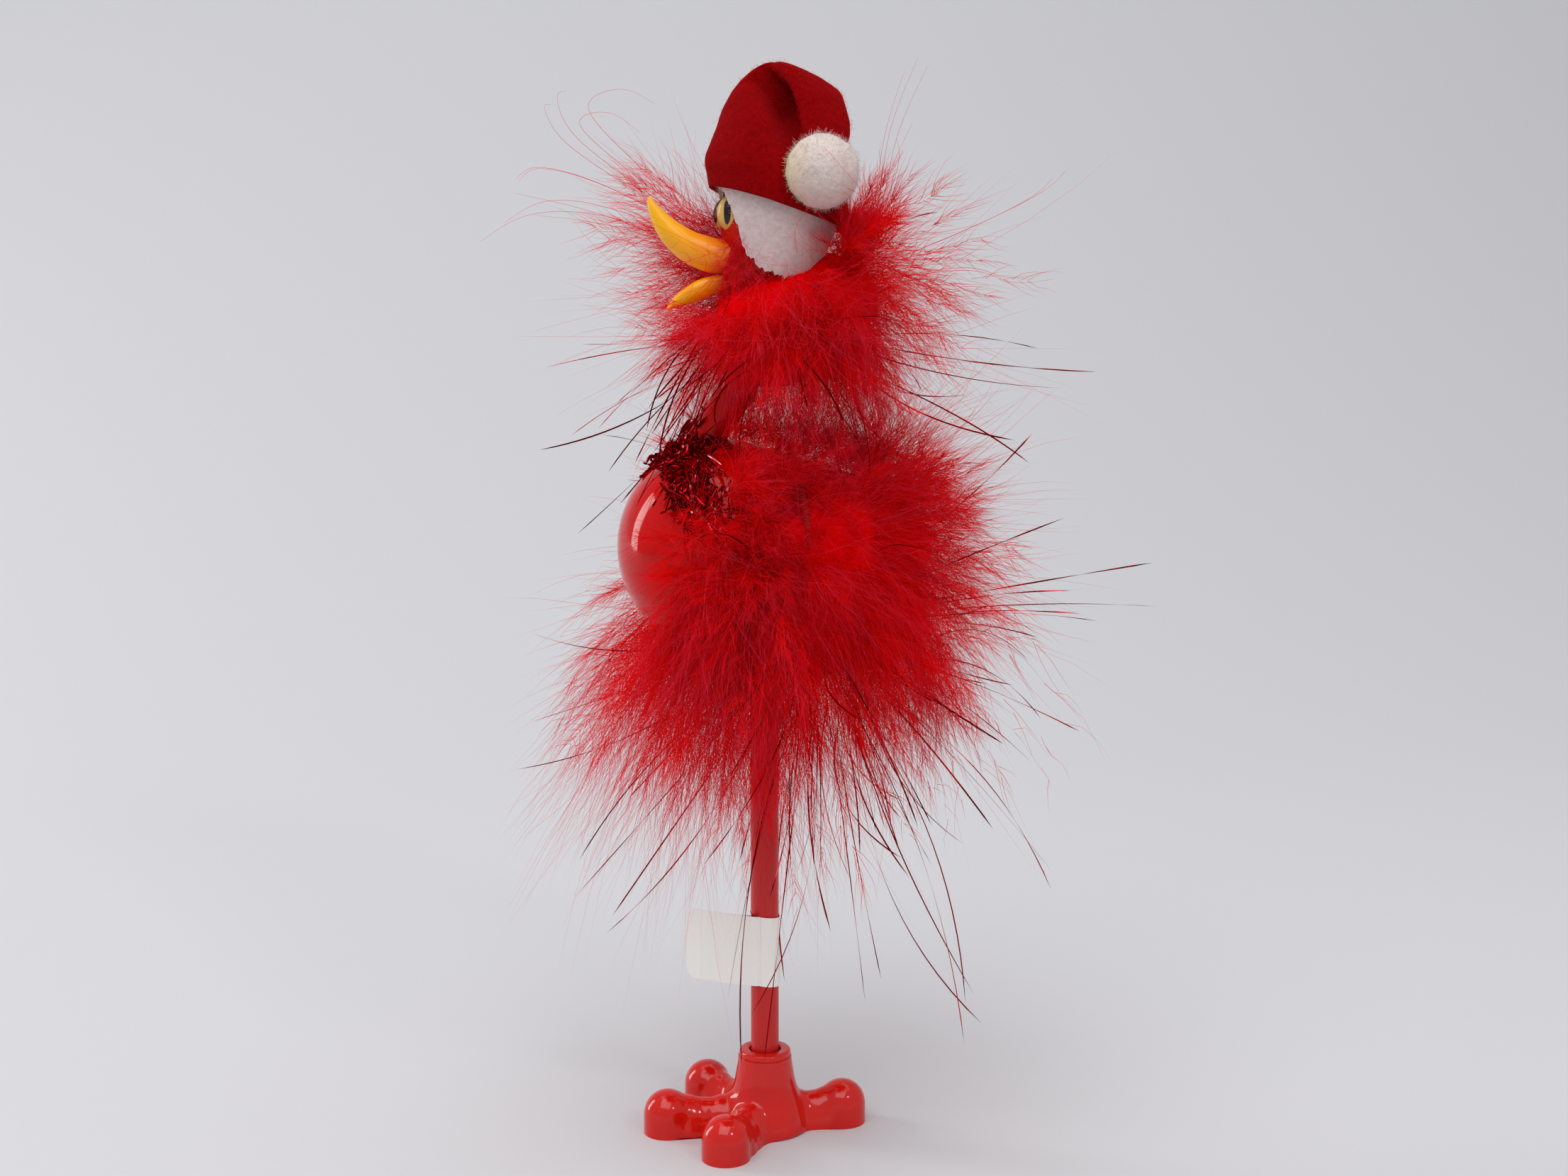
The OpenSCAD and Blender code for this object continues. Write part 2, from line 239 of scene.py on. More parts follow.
for reach, angle in ((23.0, 0), (20.6, 56), (20.6, -56), (18.4, 180)):
    heading = math.radians(180 + angle)
    along = Vector((math.cos(heading), math.sin(heading), 0))
    end = along * reach * MM
    bpy.ops.mesh.primitive_cylinder_add(vertices=48, radius=toe_ball_r, depth=9.4 * MM, location=end)
    solids.append(bpy.context.object)
    add_ball(end + Vector((0, 0, toe_ball_h - toe_ball_r)), [toe_ball_r] * 3)
    # the toe is waisted between its ball and the hub, and its sides spread towards the table
    for share, width, height in ((0.25, 13.0, 9.8), (0.45, 10.6, 8.2), (0.62, 10.0, 7.9), (0.78, 10.4, 8.6)):
        add_ball(along * reach * share * MM, (0.25 * reach * MM, width / 2 * MM, height * MM), heading)
hub_rings = ((0.0, 10.6), (3.0, 10.2), (6.0, 9.2), (8.5, 8.0), (11.0, 7.2), (15.0, 6.5), (19.0, 6.1))
for (low, low_r), (high, high_r) in zip(hub_rings, hub_rings[1:]):
    bpy.ops.mesh.primitive_cone_add(vertices=64, radius1=low_r * MM, radius2=high_r * MM,
                                    depth=(high - low + 0.2) * MM, location=(0, 0, (high + low) / 2 * MM))
    solids.append(bpy.context.object)
foot = join(solids, "foot_moulding")
apply_modifier(foot, "REMESH", mode="VOXEL", voxel_size=0.42 * MM)
apply_modifier(foot, "SMOOTH", factor=0.5, iterations=26)
# flat underside, and the collar cut level under its rim
bpy.ops.object.mode_set(mode="EDIT")
bpy.ops.mesh.select_all(action="SELECT")
bpy.ops.mesh.bisect(plane_co=(0, 0, 0), plane_no=(0, 0, -1), use_fill=True, clear_outer=True)
bpy.ops.mesh.select_all(action="SELECT")
rim_height = 1.6 * MM
bpy.ops.mesh.bisect(plane_co=(0, 0, collar_top - rim_height), plane_no=(0, 0, 1), use_fill=True,
                    clear_outer=True)
bpy.ops.object.mode_set(mode="OBJECT")
# the rolled rim is turned as a ring that sits on the collar, and the socket is bored through both
socket_r = 3.75 * MM
rim_r = 0.62 * MM
bpy.ops.mesh.primitive_cylinder_add(vertices=96, radius=6.02 * MM, depth=2.0 * MM,
                                    location=(0, 0, collar_top - 1.0 * MM))
rim = bpy.context.object
apply_modifier(rim, "BEVEL", width=rim_r, segments=5, limit_method="ANGLE", angle_limit=math.radians(50))
bpy.ops.mesh.primitive_cylinder_add(vertices=96, radius=socket_r, depth=10 * MM, location=(0, 0, collar_top))
socket_cutter = bpy.context.object
for part in (foot, rim):
    apply_modifier(part, "BOOLEAN", operation="DIFFERENCE", object=socket_cutter, solver="EXACT")
bpy.data.objects.remove(socket_cutter)
apply_modifier(rim, "BEVEL", width=0.22 * MM, segments=3, limit_method="ANGLE", angle_limit=math.radians(50))
foot = join([foot, rim], "foot_moulding")
# glossy ABS: bright sharp highlights that ripple a little where the moulding is thick
abs_red, tree, shader = new_material("moulded_red_abs", Roughness=0.1, IOR=1.46)
add_grain(tree, shader, 120.0, 3.0, ((0.3, "#C8120A"), (0.75, "#D4180C")))
add_grain(tree, shader, 260.0, 1.0, depth=0.06, strength=0.5)
finish_mesh(foot, abs_red, 40)
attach(foot, "stand")
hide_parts("foot_stand")


# ---- Pen: barrel, writing end and refill ----
# An extruded red polystyrene tube with a turned nose, a brass-tipped refill inside it and a plug in its
# top. The tube has a soft satin skin with faint drawing lines along it.
def dress(names, material):
    for name in names:
        mesh = nodes[name].data
        mesh.materials.clear()
        mesh.materials.append(material)


# satin tube: one soft broad highlight down the leg, broken by faint lines from the die
satin_red, tree, shader = new_material("satin_red_polystyrene", Roughness=0.36, IOR=1.46)
lines_each_way = (1500.0, 1500.0, 40.0)
add_grain(tree, shader, 1.0, stops=((0.25, "#BA1410"), (0.8, "#CC1814")), depth=0.02, strength=0.4,
          stretch=lines_each_way)
dress(("pen_barrel", "nose_cone", "barrel_plug"), satin_red)
# the refill: milky tube, dark paste, and a bright brass point with a grey ball
for node_name, finish, colour, metallic, roughness in (
        ("refill_tube", "clear_polypropylene", "#E4E6E2", 0.0, 0.3),
        ("refill_ink", "blue_black_ink_paste", "#10143A", 0.0, 0.4),
        ("refill_tip", "turned_brass", "#C9A14A", 1.0, 0.25),
        ("writing_ball", "carbide_steel", "#8C8C90", 1.0, 0.2)):
    finished = new_material(finish, Base_Color=linear(colour), Metallic=metallic, Roughness=roughness)[0]
    dress((node_name,), finished)


# ---- Caution flag ----
# A strip of white coated paper stuck round the leg and to itself. Its doubled free end stands out towards
# the bird's front as a small flag with rounded corners, a little higher at its end. It is left blank.
def curved_panel(name, columns, rows, place_at):
    """A grid panel whose vertices are laid by place_at(u, v), with u and v from 0 to 1."""
    bpy.ops.object.select_all(action="DESELECT")
    bpy.ops.mesh.primitive_grid_add(x_subdivisions=columns, y_subdivisions=rows, size=2)
    panel = bpy.context.object
    panel.name = name
    for vertex in panel.data.vertices:
        vertex.co = Vector(place_at((vertex.co.x + 1) / 2, (vertex.co.y + 1) / 2)) * MM
    return panel


label_low = 34.5
label_high = 51.0
flag_end = -18.4
corner_r = 2.6
wrap_r = 3.5
slant = 0.13


def label_path(u):
    """Plan position along the strip: out along the flag, round the leg and back along the flag."""
    flag = 15.5
    turn = 2 * math.pi * wrap_r * 0.80
    s = u * (2 * flag + turn)
    if s < flag:
        along = s / flag
        return flag_end + along * 16.4, -3.3 + 2.6 * (1 - along) ** 2 * 0.9, 1 - along
    if s < flag + turn:
        angle = math.radians(-126) + (s - flag) / turn * math.radians(288)
        return wrap_r * math.cos(angle), wrap_r * math.sin(angle), 0
    along = 1 - (s - flag - turn) / flag
    x = flag_end + along * 15.2
    return x, -3.15 + 2.6 * (1 - along) ** 2 * 0.9 + 1.5 * along ** 8, 1 - along


def label_point(u, v):
    x, y, out = label_path(u)
    short_of_corner = corner_r - min(x - flag_end, corner_r)
    inset = corner_r - math.sqrt(max(corner_r ** 2 - short_of_corner ** 2, 0)) if out > 0 else 0
    low = label_low + inset + 0.25 * out
    high = label_high - inset + 0.35 * out
    return x, y, low + (high - low) * v + 0.4 - slant * x


label = curved_panel("caution_flag_paper", 140, 16, label_point)
apply_modifier(label, "SOLIDIFY", thickness=0.11 * MM, offset=0)
# coated paper: warm white with a dull sheen and barely any grain
paper, tree, shader = new_material("white_coated_paper", Base_Color=linear("#F8F8F2"), Roughness=0.55)
add_grain(tree, shader, 2500.0, 3.0, depth=0.02, strength=0.3)
finish_mesh(label, paper, 50)
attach(label, "bird")
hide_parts("label_flag")


# ---- Body, neck and head shells ----
# Two-part mouldings in high-gloss red polystyrene, glued on the centre plane. Only the round chest stays
# bare; everything else is under feathers.
# high gloss: a deep red chest with one long thin window highlight and little haze
gloss_red, tree, shader = new_material("high_gloss_red_polystyrene", Roughness=0.07, IOR=1.5)
shader.inputs["Specular IOR Level"].default_value = 0.2
add_grain(tree, shader, 60.0, stops=((0.3, "#B60202"), (0.75, "#C60404")))
dress(("body_shell_left", "body_shell_right", "neck_stem", "head_shell_left", "head_shell_right"), gloss_red)
# cotton: dead matt and a little darker than the down that hides it
thread = new_material("red_cotton_thread", Base_Color=linear("#A00810"), Roughness=0.9)[0]
dress(("neck_boa_cord", "body_boa_cord"), thread)


# ---- Eyes ----
# Two domed cream plastic eyes glued side by side, each with a tall black-brown pupil printed on it. The
# print looks to the bird's left on both.
# cream plastic: a warm domed gloss with the dark print under it
cream, tree, shader = new_material("printed_cream_plastic", Roughness=0.22, IOR=1.46)
place = add_node(tree, "TexCoord").outputs["Object"]
spot = add_node(tree, "SeparateXYZ", {"Vector": place})


def pupil_mask(across, middle, half_width, height, half_height, past, limit):
    """1 inside an upright oval on one eye, 0 outside it, with a soft printed edge. Sizes in mm; past and
    limit say on which side of the head the oval lies."""
    squares = []
    for axis, centre, half in ((across, middle, half_width), ("Z", height, half_height)):
        shift = add_node(tree, "Math", {0: spot.outputs[axis], 1: centre * MM}, operation="SUBTRACT")
        share = add_node(tree, "Math", {0: shift.outputs[0], 1: half * MM}, operation="DIVIDE")
        squares.append(add_node(tree, "Math", {0: share.outputs[0], 1: 2.0}, operation="POWER").outputs[0])
    total = add_node(tree, "Math", dict(enumerate(squares)), operation="ADD").outputs[0]
    edge = add_node(tree, "MapRange", {"Value": total, "From Min": 1.15, "From Max": 0.9}).outputs["Result"]
    side = add_node(tree, "Math", {0: spot.outputs[past], 1: limit * MM}, operation="LESS_THAN").outputs[0]
    return add_node(tree, "Math", {0: edge, 1: side}, operation="MULTIPLY").outputs[0]


near_pupil = pupil_mask("X", -8.9, 0.72, 211.4, 2.6, "Y", -3.1)
far_pupil = pupil_mask("Y", 2.6, 1.5, 212.0, 2.7, "X", -7.5)
pupils = add_node(tree, "Math", {0: near_pupil, 1: far_pupil}, operation="MAXIMUM").outputs[0]
add_node(tree, "ValToRGB", {"Fac": pupils}, ((0.0, "#D2AE62"), (1.0, "#1C0206")), shader.inputs["Base Color"])
dress(("eye_left", "eye_right"), cream)


# ---- Beak ----
# Two satin yellow mouldings: a curved upper half like a small banana and a spoon-shaped lower half. Both
# turn orange towards the face.
def loft(name, rings, closed_start=True, closed_end=True):
    """A skin over rings of points, each ring with the same number of points."""
    mesh = bpy.data.meshes.new(name)
    count = len(rings[0])
    points = [tuple(c * MM for c in point) for ring in rings for point in ring]
    faces = []
    for i in range(len(rings) - 1):
        for k in range(count):
            a = i * count + k
            b = i * count + (k + 1) % count
            faces.append((a, b, b + count, a + count))
    if closed_start:
        faces.append(tuple(reversed(range(count))))
    if closed_end:
        faces.append(tuple(range((len(rings) - 1) * count, len(rings) * count)))
    mesh.from_pydata(points, [], faces)
    piece = bpy.data.objects.new(name, mesh)
    bpy.context.scene.collection.objects.link(piece)
    select_only(piece)
    bpy.ops.object.mode_set(mode="EDIT")
    bpy.ops.mesh.select_all(action="SELECT")
    bpy.ops.mesh.normals_make_consistent(inside=False)
    bpy.ops.object.mode_set(mode="OBJECT")
    return piece


def smooth_stations(stations, steps):
    """Stations joined by a smooth curve, steps to each gap."""
    stations = np.array(stations, float)
    padded_ends = np.vstack([2 * stations[0] - stations[1], stations, 2 * stations[-1] - stations[-2]])
    result = []
    for i in range(len(stations) - 1):
        p0, p1, p2, p3 = padded_ends[i:i + 4]
        for t in np.linspace(0, 1, steps, endpoint=False):
            result.append(0.5 * (2 * p1 + (p2 - p0) * t + (2 * p0 - 5 * p1 + 4 * p2 - p3) * t ** 2
                                 + (3 * p1 - p0 - 3 * p2 + p3) * t ** 3))
    result.append(stations[-1])
    return np.array(result)


def beak_rings(stations, top_scale):
    """Rings across a spine in the centre plane. Each station is x, z, half height and half width."""
    path = smooth_stations(stations, 5)
    rings = []
    for i, (x, z, half_height, half_width) in enumerate(path):
        ahead = path[min(i + 1, len(path) - 1)][:2] - path[max(i - 1, 0)][:2]
        ahead = ahead / np.linalg.norm(ahead)
        across = np.array([-ahead[1], ahead[0]])
        ring = []
        for k in range(28):
            angle = 2 * math.pi * k / 28
            rise = half_height * math.sin(angle)
            wide = half_width * math.copysign(abs(math.cos(angle)) ** 0.9, math.cos(angle))
            if rise * across[1] > 0:
                rise *= top_scale(wide / half_width)
            ring.append((x + across[0] * rise, wide, z + across[1] * rise))
        rings.append(ring)
    return rings


upper_stations = ((-5.5, 202.4, 3.3, 4.8), (-9.4, 202.0, 3.75, 5.0), (-12.7, 202.6, 3.85, 4.8),
                  (-16.7, 204.2, 3.5, 4.2), (-20.3, 206.9, 2.85, 3.3), (-22.7, 209.6, 2.1, 2.3),
                  (-24.6, 212.7, 1.15, 1.2), (-25.45, 214.9, 0.35, 0.35))
lower_stations = ((-6.5, 197.2, 1.7, 2.6), (-9.5, 196.9, 2.1, 3.0), (-12.0, 196.3, 2.5, 3.4),
                  (-14.8, 195.2, 2.75, 3.7), (-17.4, 193.8, 2.35, 3.2), (-19.8, 192.2, 1.45, 2.0),
                  (-21.6, 190.5, 0.4, 0.5))
upper_beak = loft("upper_beak_moulding", beak_rings(upper_stations, lambda wide: 1.0))
lower_beak = loft("lower_beak_moulding", beak_rings(lower_stations, lambda wide: 0.55 + 0.3 * wide * wide))
# satin plastic with a little depth: yellow, turning orange where the beak meets the face
beak_paint, tree, shader = new_material("satin_yellow_orange_plastic", Roughness=0.28, IOR=1.46,
                                        Subsurface_Weight=0.15, Subsurface_Radius=(0.002, 0.001, 0.0003))
place = add_node(tree, "TexCoord").outputs["Object"]
spot = add_node(tree, "SeparateXYZ", {"Vector": place}).outputs
# the colour runs from orange at the face to yellow at the tip, and is yellower along the lower edge
mix_down = add_node(tree, "Math", {0: spot["Z"], 1: 0.35, 2: spot["X"]}, operation="MULTIPLY_ADD").outputs[0]
face_side = {"Value": mix_down, "From Min": 0.0475, "From Max": 0.0635}
run = add_node(tree, "MapRange", face_side).outputs["Result"]
patch = add_node(tree, "TexNoise", {"Vector": place, "Scale": 180.0}).outputs["Fac"]
blend_in = add_node(tree, "Math", {0: patch, 1: 0.25, 2: run}, operation="MULTIPLY_ADD").outputs[0]
beak_tones = ((0.15, "#F6B800"), (0.55, "#F6A808"), (1.1, "#E87C04"))
add_node(tree, "ValToRGB", {"Fac": blend_in}, beak_tones, shader.inputs["Base Color"])
for piece, node_name in ((upper_beak, "upper_beak"), (lower_beak, "lower_beak")):
    finish_mesh(piece, beak_paint, 60)
    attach(piece, "bird")
    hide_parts(node_name)


# ---- Feather and foil strands: what the trims, the fuzz and the pile are made of ----
# Each barb is a fine tapered fibre. A plume is a curved quill with soft barbs along it, and the barbs
# bend forward as they leave the quill.
RNG = np.random.default_rng(20481)
LOWEST = np.array(cad_box[0]) / MM - 7.0
HIGHEST = np.array(cad_box[1]) / MM + 7.0
ROUND = ((1.0, 0.0), (-0.5, 0.866), (-0.5, -0.866))
FLAT = ((1.0, 0.12), (-1.0, 0.12), (-1.0, -0.12), (1.0, -0.12))


def unit(vectors):
    return vectors / (np.linalg.norm(vectors, axis=-1, keepdims=True) + 1e-12)


def around_axis(first, second, turn):
    """Directions round an axis: first at no turn and second at a quarter turn."""
    return first[None] * np.cos(turn)[:, None] + second[None] * np.sin(turn)[:, None]


def merged(*groups):
    """Groups of fibres as one group of centres, radii and tint."""
    return [np.concatenate(values) for values in zip(*groups)]


def fibre_mesh(name, centres, radii, tint, profile=ROUND, roll=None, smooth=True):
    """Thin fibres as one mesh. centres is (fibres, steps, 3) in mm; radii and tint are (fibres, steps)."""
    count, steps = centres.shape[:2]
    sides = len(profile)
    along = unit(np.gradient(centres, axis=1))
    guide = np.where(np.abs(along[:, :1, 2:3]) < 0.8, [[[0.0, 0.0, 1.0]]], [[[1.0, 0.0, 0.0]]])
    side = unit(np.cross(along, np.broadcast_to(guide, along.shape)))
    up = np.cross(along, side)
    if roll is not None:
        side, up = (side * np.cos(roll)[..., None] + up * np.sin(roll)[..., None],
                    up * np.cos(roll)[..., None] - side * np.sin(roll)[..., None])
    shape = np.array(profile)
    rings = (centres[:, :-1, None] + radii[:, :-1, None, None]
             * (shape[None, None, :, :1] * side[:, :-1, None] + shape[None, None, :, 1:] * up[:, :-1, None]))
    each = sides * (steps - 1) + 1
    points = np.concatenate([rings.reshape(count, each - 1, 3), centres[:, -1:]], axis=1) * MM
    shades = np.concatenate([np.repeat(tint[:, :-1], sides, axis=1), tint[:, -1:]], axis=1)
    pattern = []
    for i in range(steps - 1):
        for k in range(sides):
            a = i * sides + k
            b = i * sides + (k + 1) % sides
            if i < steps - 2:
                pattern += [(a, b, b + sides), (a, b + sides, a + sides)]
            else:
                pattern.append((a, b, each - 1))
    pattern += [(0, k + 1, k) for k in range(1, sides - 1)]
    faces = (np.array(pattern)[None] + (np.arange(count) * each)[:, None, None]).reshape(-1)
    mesh = bpy.data.meshes.new(name)
    mesh.vertices.add(count * each)
    mesh.vertices.foreach_set("co", points.astype(np.float32).ravel())
    mesh.loops.add(len(faces))
    mesh.loops.foreach_set("vertex_index", faces.astype(np.int32))
    mesh.polygons.add(len(faces) // 3)
    mesh.polygons.foreach_set("loop_start", np.arange(0, len(faces), 3, dtype=np.int32))
    mesh.update(calc_edges=True)
    mesh.attributes.new("tint", "FLOAT", "POINT").data.foreach_set("value", shades.astype(np.float32).ravel())
    if smooth:
        mesh.shade_smooth()
    piece = bpy.data.objects.new(name, mesh)
    bpy.context.scene.collection.objects.link(piece)
    return piece


def plumes(roots, headings, drifts, lengths, barbs_each, barb_mm, thick, opening=(18, 50), steps=4,
           loose=0.16):
    """Centres, radii and tint of the barbs of many plumes, in mm."""
    count = len(roots)
    headings = unit(headings)
    side = unit(np.cross(headings, unit(RNG.normal(size=(count, 3)))))
    lift = np.cross(side, headings)
    which = np.repeat(np.arange(count), barbs_each)
    total = len(which)
    t = RNG.uniform(0.04, 1.0, total) ** 0.85
    run = lengths[which][:, None]
    start = roots[which] + run * (headings[which] * t[:, None] + drifts[which] * (t ** 2)[:, None])
    ahead = unit(headings[which] + 2 * drifts[which] * t[:, None])
    roll = RNG.normal(0, 0.55, total)
    hand = RNG.choice([-1.0, 1.0], total)
    away = hand[:, None] * (side[which] * np.cos(roll)[:, None] + lift[which] * np.sin(roll)[:, None])
    angle = np.radians(RNG.uniform(*opening, total)) * (1 - 0.25 * t)
    reach = (np.broadcast_to(barb_mm, count)[which] * (0.62 + 0.45 * np.sin(math.pi * t ** 0.9))
             * RNG.uniform(0.5, 1.4, total))
    s = np.linspace(0, 1, steps)[None, :]
    forward = s * np.cos(angle)[:, None] + 0.18 * s ** 2
    out = np.sin(angle)[:, None] * (s - 0.42 * s ** 2)
    sweep = ahead[:, None] * forward[..., None] + away[:, None] * out[..., None]
    centres = start[:, None] + reach[:, None, None] * sweep
    wave = unit(RNG.normal(size=(total, 3)))
    phase = RNG.uniform(0, 6.28, total)
    turns = RNG.uniform(2.0, 6.0, total)
    sway = np.sin(turns[:, None] * s + phase[:, None]) - np.sin(phase)[:, None]
    stray = unit(RNG.normal(size=(total, 3)))
    centres = (centres + (0.08 * reach)[:, None, None] * wave[:, None] * sway[..., None]
               + (loose * reach)[:, None, None] * stray[:, None] * (s ** 1.5)[..., None])
    centres[..., 2] -= 0.12 * reach[:, None] * s ** 2
    radii = thick * RNG.uniform(0.7, 1.25, total)[:, None] * (1 - 0.72 * s)
    # a random tone per plume, lifted towards the plume's end and the barb tips as painted backlight
    tone_and_painted_backlight = RNG.uniform(-0.2, 0.2, count)[which] + 0.25 + 0.35 * t
    tint = np.clip(tone_and_painted_backlight[:, None] - 0.2 + 0.55 * s ** 1.5, 0, 1)
    return centres, radii, tint


def long_fibres(starts, headings, drifts, lengths, thick, steps=8):
    """Single long loose fibres with a slow curl."""
    count = len(starts)
    headings = unit(headings)
    s = np.linspace(0, 1, steps)[None, :]
    curl = unit(np.cross(headings, RNG.normal(size=(count, 3))))
    phase = RNG.uniform(0, 6.28, count)
    turns = RNG.uniform(1.5, 5.0, count)
    sway = np.sin(turns[:, None] * s + phase[:, None]) - np.sin(phase)[:, None]
    sweep = headings[:, None] * s[..., None] + drifts[:, None] * (s ** 2)[..., None]
    centres = (starts[:, None] + lengths[:, None, None] * sweep
               + (0.09 * lengths)[:, None, None] * curl[:, None] * (sway * s)[..., None])
    radii = thick * RNG.uniform(0.7, 1.3, count)[:, None] * (1 - 0.7 * s)
    # a random tone per fibre, a little lighter towards the tip as painted backlight
    tint = np.clip(RNG.uniform(0.3, 0.9, count)[:, None] + 0.1 * s, 0, 1)
    return centres, radii, tint


def down_material(name, deep, middle, light):
    """Dyed down: soft, lets light through and has no shine. Deep at the quill, with a painted pink at the
    tips for light showing through the thin barb ends.
    """
    material, tree, shader = new_material(name, Roughness=0.85)
    shader.inputs["Specular IOR Level"].default_value = 0.15
    tint = add_node(tree, "Attribute", attribute_name="tint").outputs["Fac"]
    tones_with_painted_backlit_tips = ((0.0, deep), (0.5, middle), (1.0, light))
    tone = add_node(tree, "ValToRGB", {"Fac": tint}, tones_with_painted_backlit_tips, shader.inputs["Base Color"]).outputs["Color"]
    glow = add_node(tree, "BsdfTranslucent", {"Color": tone}).outputs["BSDF"]
    both = {"Fac": 0.5, 1: shader.outputs["BSDF"], 2: glow}
    add_node(tree, "MixShader", both, feeds=tree.nodes["Material Output"].inputs["Surface"])
    return material


# the pink last stop is the painted backlight of the barb tips
down_red = down_material("dyed_red_marabou_down", "#FF0003", "#FF0208", "#F24C74")
# the same down where it is matted: a saturated red with no shine, clumped so that no smooth skin shows
core_red, tree, shader = new_material("matted_red_down", Roughness=1.0)
shader.inputs["Specular IOR Level"].default_value = 0.0
add_grain(tree, shader, 160.0, 5.0, ((0.3, "#E00004"), (0.7, "#FF0206")), 1.2, 0.8)


def add_strands(name, parts, material, slot_name, most=8600, **options):
    """Fibres cut into pieces of a size that stays light, each riding with the bird."""
    centres, radii, tint = parts
    inside = ((centres > LOWEST) & (centres < HIGHEST)).all(axis=(1, 2))
    centres, radii, tint = centres[inside], radii[inside], tint[inside]
    pieces = []
    groups = math.ceil(len(centres) / most)
    for number in range(groups):
        choose = slice(number, None, groups)
        piece_name = name if groups == 1 else f"{name}_{number + 1}"
        piece = fibre_mesh(piece_name, centres[choose], radii[choose], tint[choose], **options)
        piece.data.materials.append(material)
        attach(piece, "bird")
        pieces.append(piece)
    return pieces


def uneven(piece, lump_size, depth, octaves=2):
    """Rolls the surface in and out with lumps of a size in mm."""
    texture = bpy.data.textures.new(piece.name + "_lumps", "CLOUDS")
    texture.noise_scale = lump_size * MM
    texture.noise_depth = octaves
    apply_modifier(piece, "DISPLACE", texture=texture, strength=depth * MM, mid_level=0.5,
                   texture_coords="LOCAL")


def core_mass(name, balls, voxel, roughness_mm, lump_size):
    """A soft lump of matted down: balls blended into one skin with an uneven surface."""
    bpy.ops.object.select_all(action="DESELECT")
    parts = []
    for place, half in balls:
        at = Vector(place) * MM
        bpy.ops.mesh.primitive_uv_sphere_add(segments=32, ring_count=16, radius=1, location=at)
        part = bpy.context.object
        part.scale = Vector(half) * MM
        parts.append(part)
    mass = join(parts, name)
    apply_modifier(mass, "REMESH", mode="VOXEL", voxel_size=voxel * MM)
    apply_modifier(mass, "SMOOTH", factor=0.5, iterations=8)
    uneven(mass, lump_size, roughness_mm)
    finish_mesh(mass, core_red)
    return mass


# ---- Body boa ----
# A marabou boa wound round the body behind the bare chest: a matted core with plumes that stand out all
# round, lie back over the top and hang below as a skirt round the leg.
chest_at = np.array([-9.2, 0.0, 137.5])
chest_r = 24.0
tail_r = 11.0
tail_behind = 33.4
body_rise = math.radians(6)
tailward = np.array([math.cos(body_rise), 0.0, math.sin(body_rise)])
body_up = np.array([-math.sin(body_rise), 0.0, math.cos(body_rise)])
body_side = np.array([0.0, 1.0, 0.0])


def body_radius(axial):
    """Radius of the body at a distance behind the chest's centre: a ball, a cone and a smaller ball."""
    sine = (chest_r - tail_r) / tail_behind
    chest_part = np.sqrt(np.clip(chest_r ** 2 - axial ** 2, 0, None))
    cone_part = (chest_r - axial * sine) / math.sqrt(1 - sine ** 2)
    tail_part = np.sqrt(np.clip(tail_r ** 2 - (axial - tail_behind) ** 2, 0, None))
    behind_chest = np.where(axial < tail_behind + tail_r * sine, cone_part, tail_part)
    return np.where(axial < chest_r * sine, chest_part, behind_chest)


def on_body(axial, turn, stand_off):
    """Points and outward directions at a turn round the body's axis, 0 on top and 180 degrees below."""
    around = around_axis(body_up, body_side, turn)
    radius = body_radius(axial) + stand_off
    points = chest_at[None] + tailward[None] * axial[:, None] + around * radius[:, None]
    slope = np.where(axial < 9.3, axial / chest_r, np.where(axial < 37, 0.39, (axial - tail_behind) / tail_r))
    level = np.sqrt(np.clip(1 - slope ** 2, 0.02, 1))
    normals = unit(around * level[:, None] + tailward[None] * slope[:, None])
    return points, normals


body_core = core_mass("body_boa_matted_core",
                      [((10, 0, 137), (21, 24, 18)), ((24, 0, 138), (13, 17, 14)), ((29, 0, 138), (9, 11, 9)),
                       ((-3, 0, 127), (19, 24, 14)), ((18, 0, 122), (20, 19, 14)), ((3, 0, 114), (15, 16, 8)),
                       ((23, 0, 127), (12, 13, 11))], 1.2, 4.5, 7.0)
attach(body_core, "bird")
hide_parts("body_boa_feathers")
down = np.array([[0.0, 0.0, -1.0]])


def body_roots(count, depth, turn):
    """Root points over the covered part of the body, and what is needed to comb plumes there."""
    bare = -2.0 - 17.0 * np.clip((np.abs(turn) - 0.75) / 1.3, 0, 1)
    axial = bare + (43 - bare) * RNG.uniform(0, 1, count)
    roots, normals = on_body(axial, turn, RNG.uniform(*depth, count))
    low = np.clip((-normals[:, 2] + 0.2) / 0.9, 0, 1)[:, None]
    top = np.clip((normals[:, 2] - 0.1) / 0.7, 0, 1)[:, None]
    back = np.clip((axial - 22) / 16, 0, 1)[:, None]
    front = np.clip((4 - axial) / 10, 0, 1)[:, None]
    spread = unit(roots - np.array([8.0, 0.0, 124.0]))
    return roots, normals, low, top, back, front, spread


def trimmed(parts):
    """Drops most fibres that hang over the foil at the neck's foot or stick out past the skirt behind."""
    centres = parts[0]
    x, y, z = centres[..., 0], centres[..., 1], centres[..., 2]
    over_foil = (x < -11) & (z > 149) & (y < 8)
    past_skirt = (x > 50 + 0.62 * (z - 102)) & (z < 114)
    blocked = (over_foil | past_skirt).any(axis=1) & (RNG.uniform(size=len(centres)) > 0.1)
    return [values[~blocked] for values in parts]


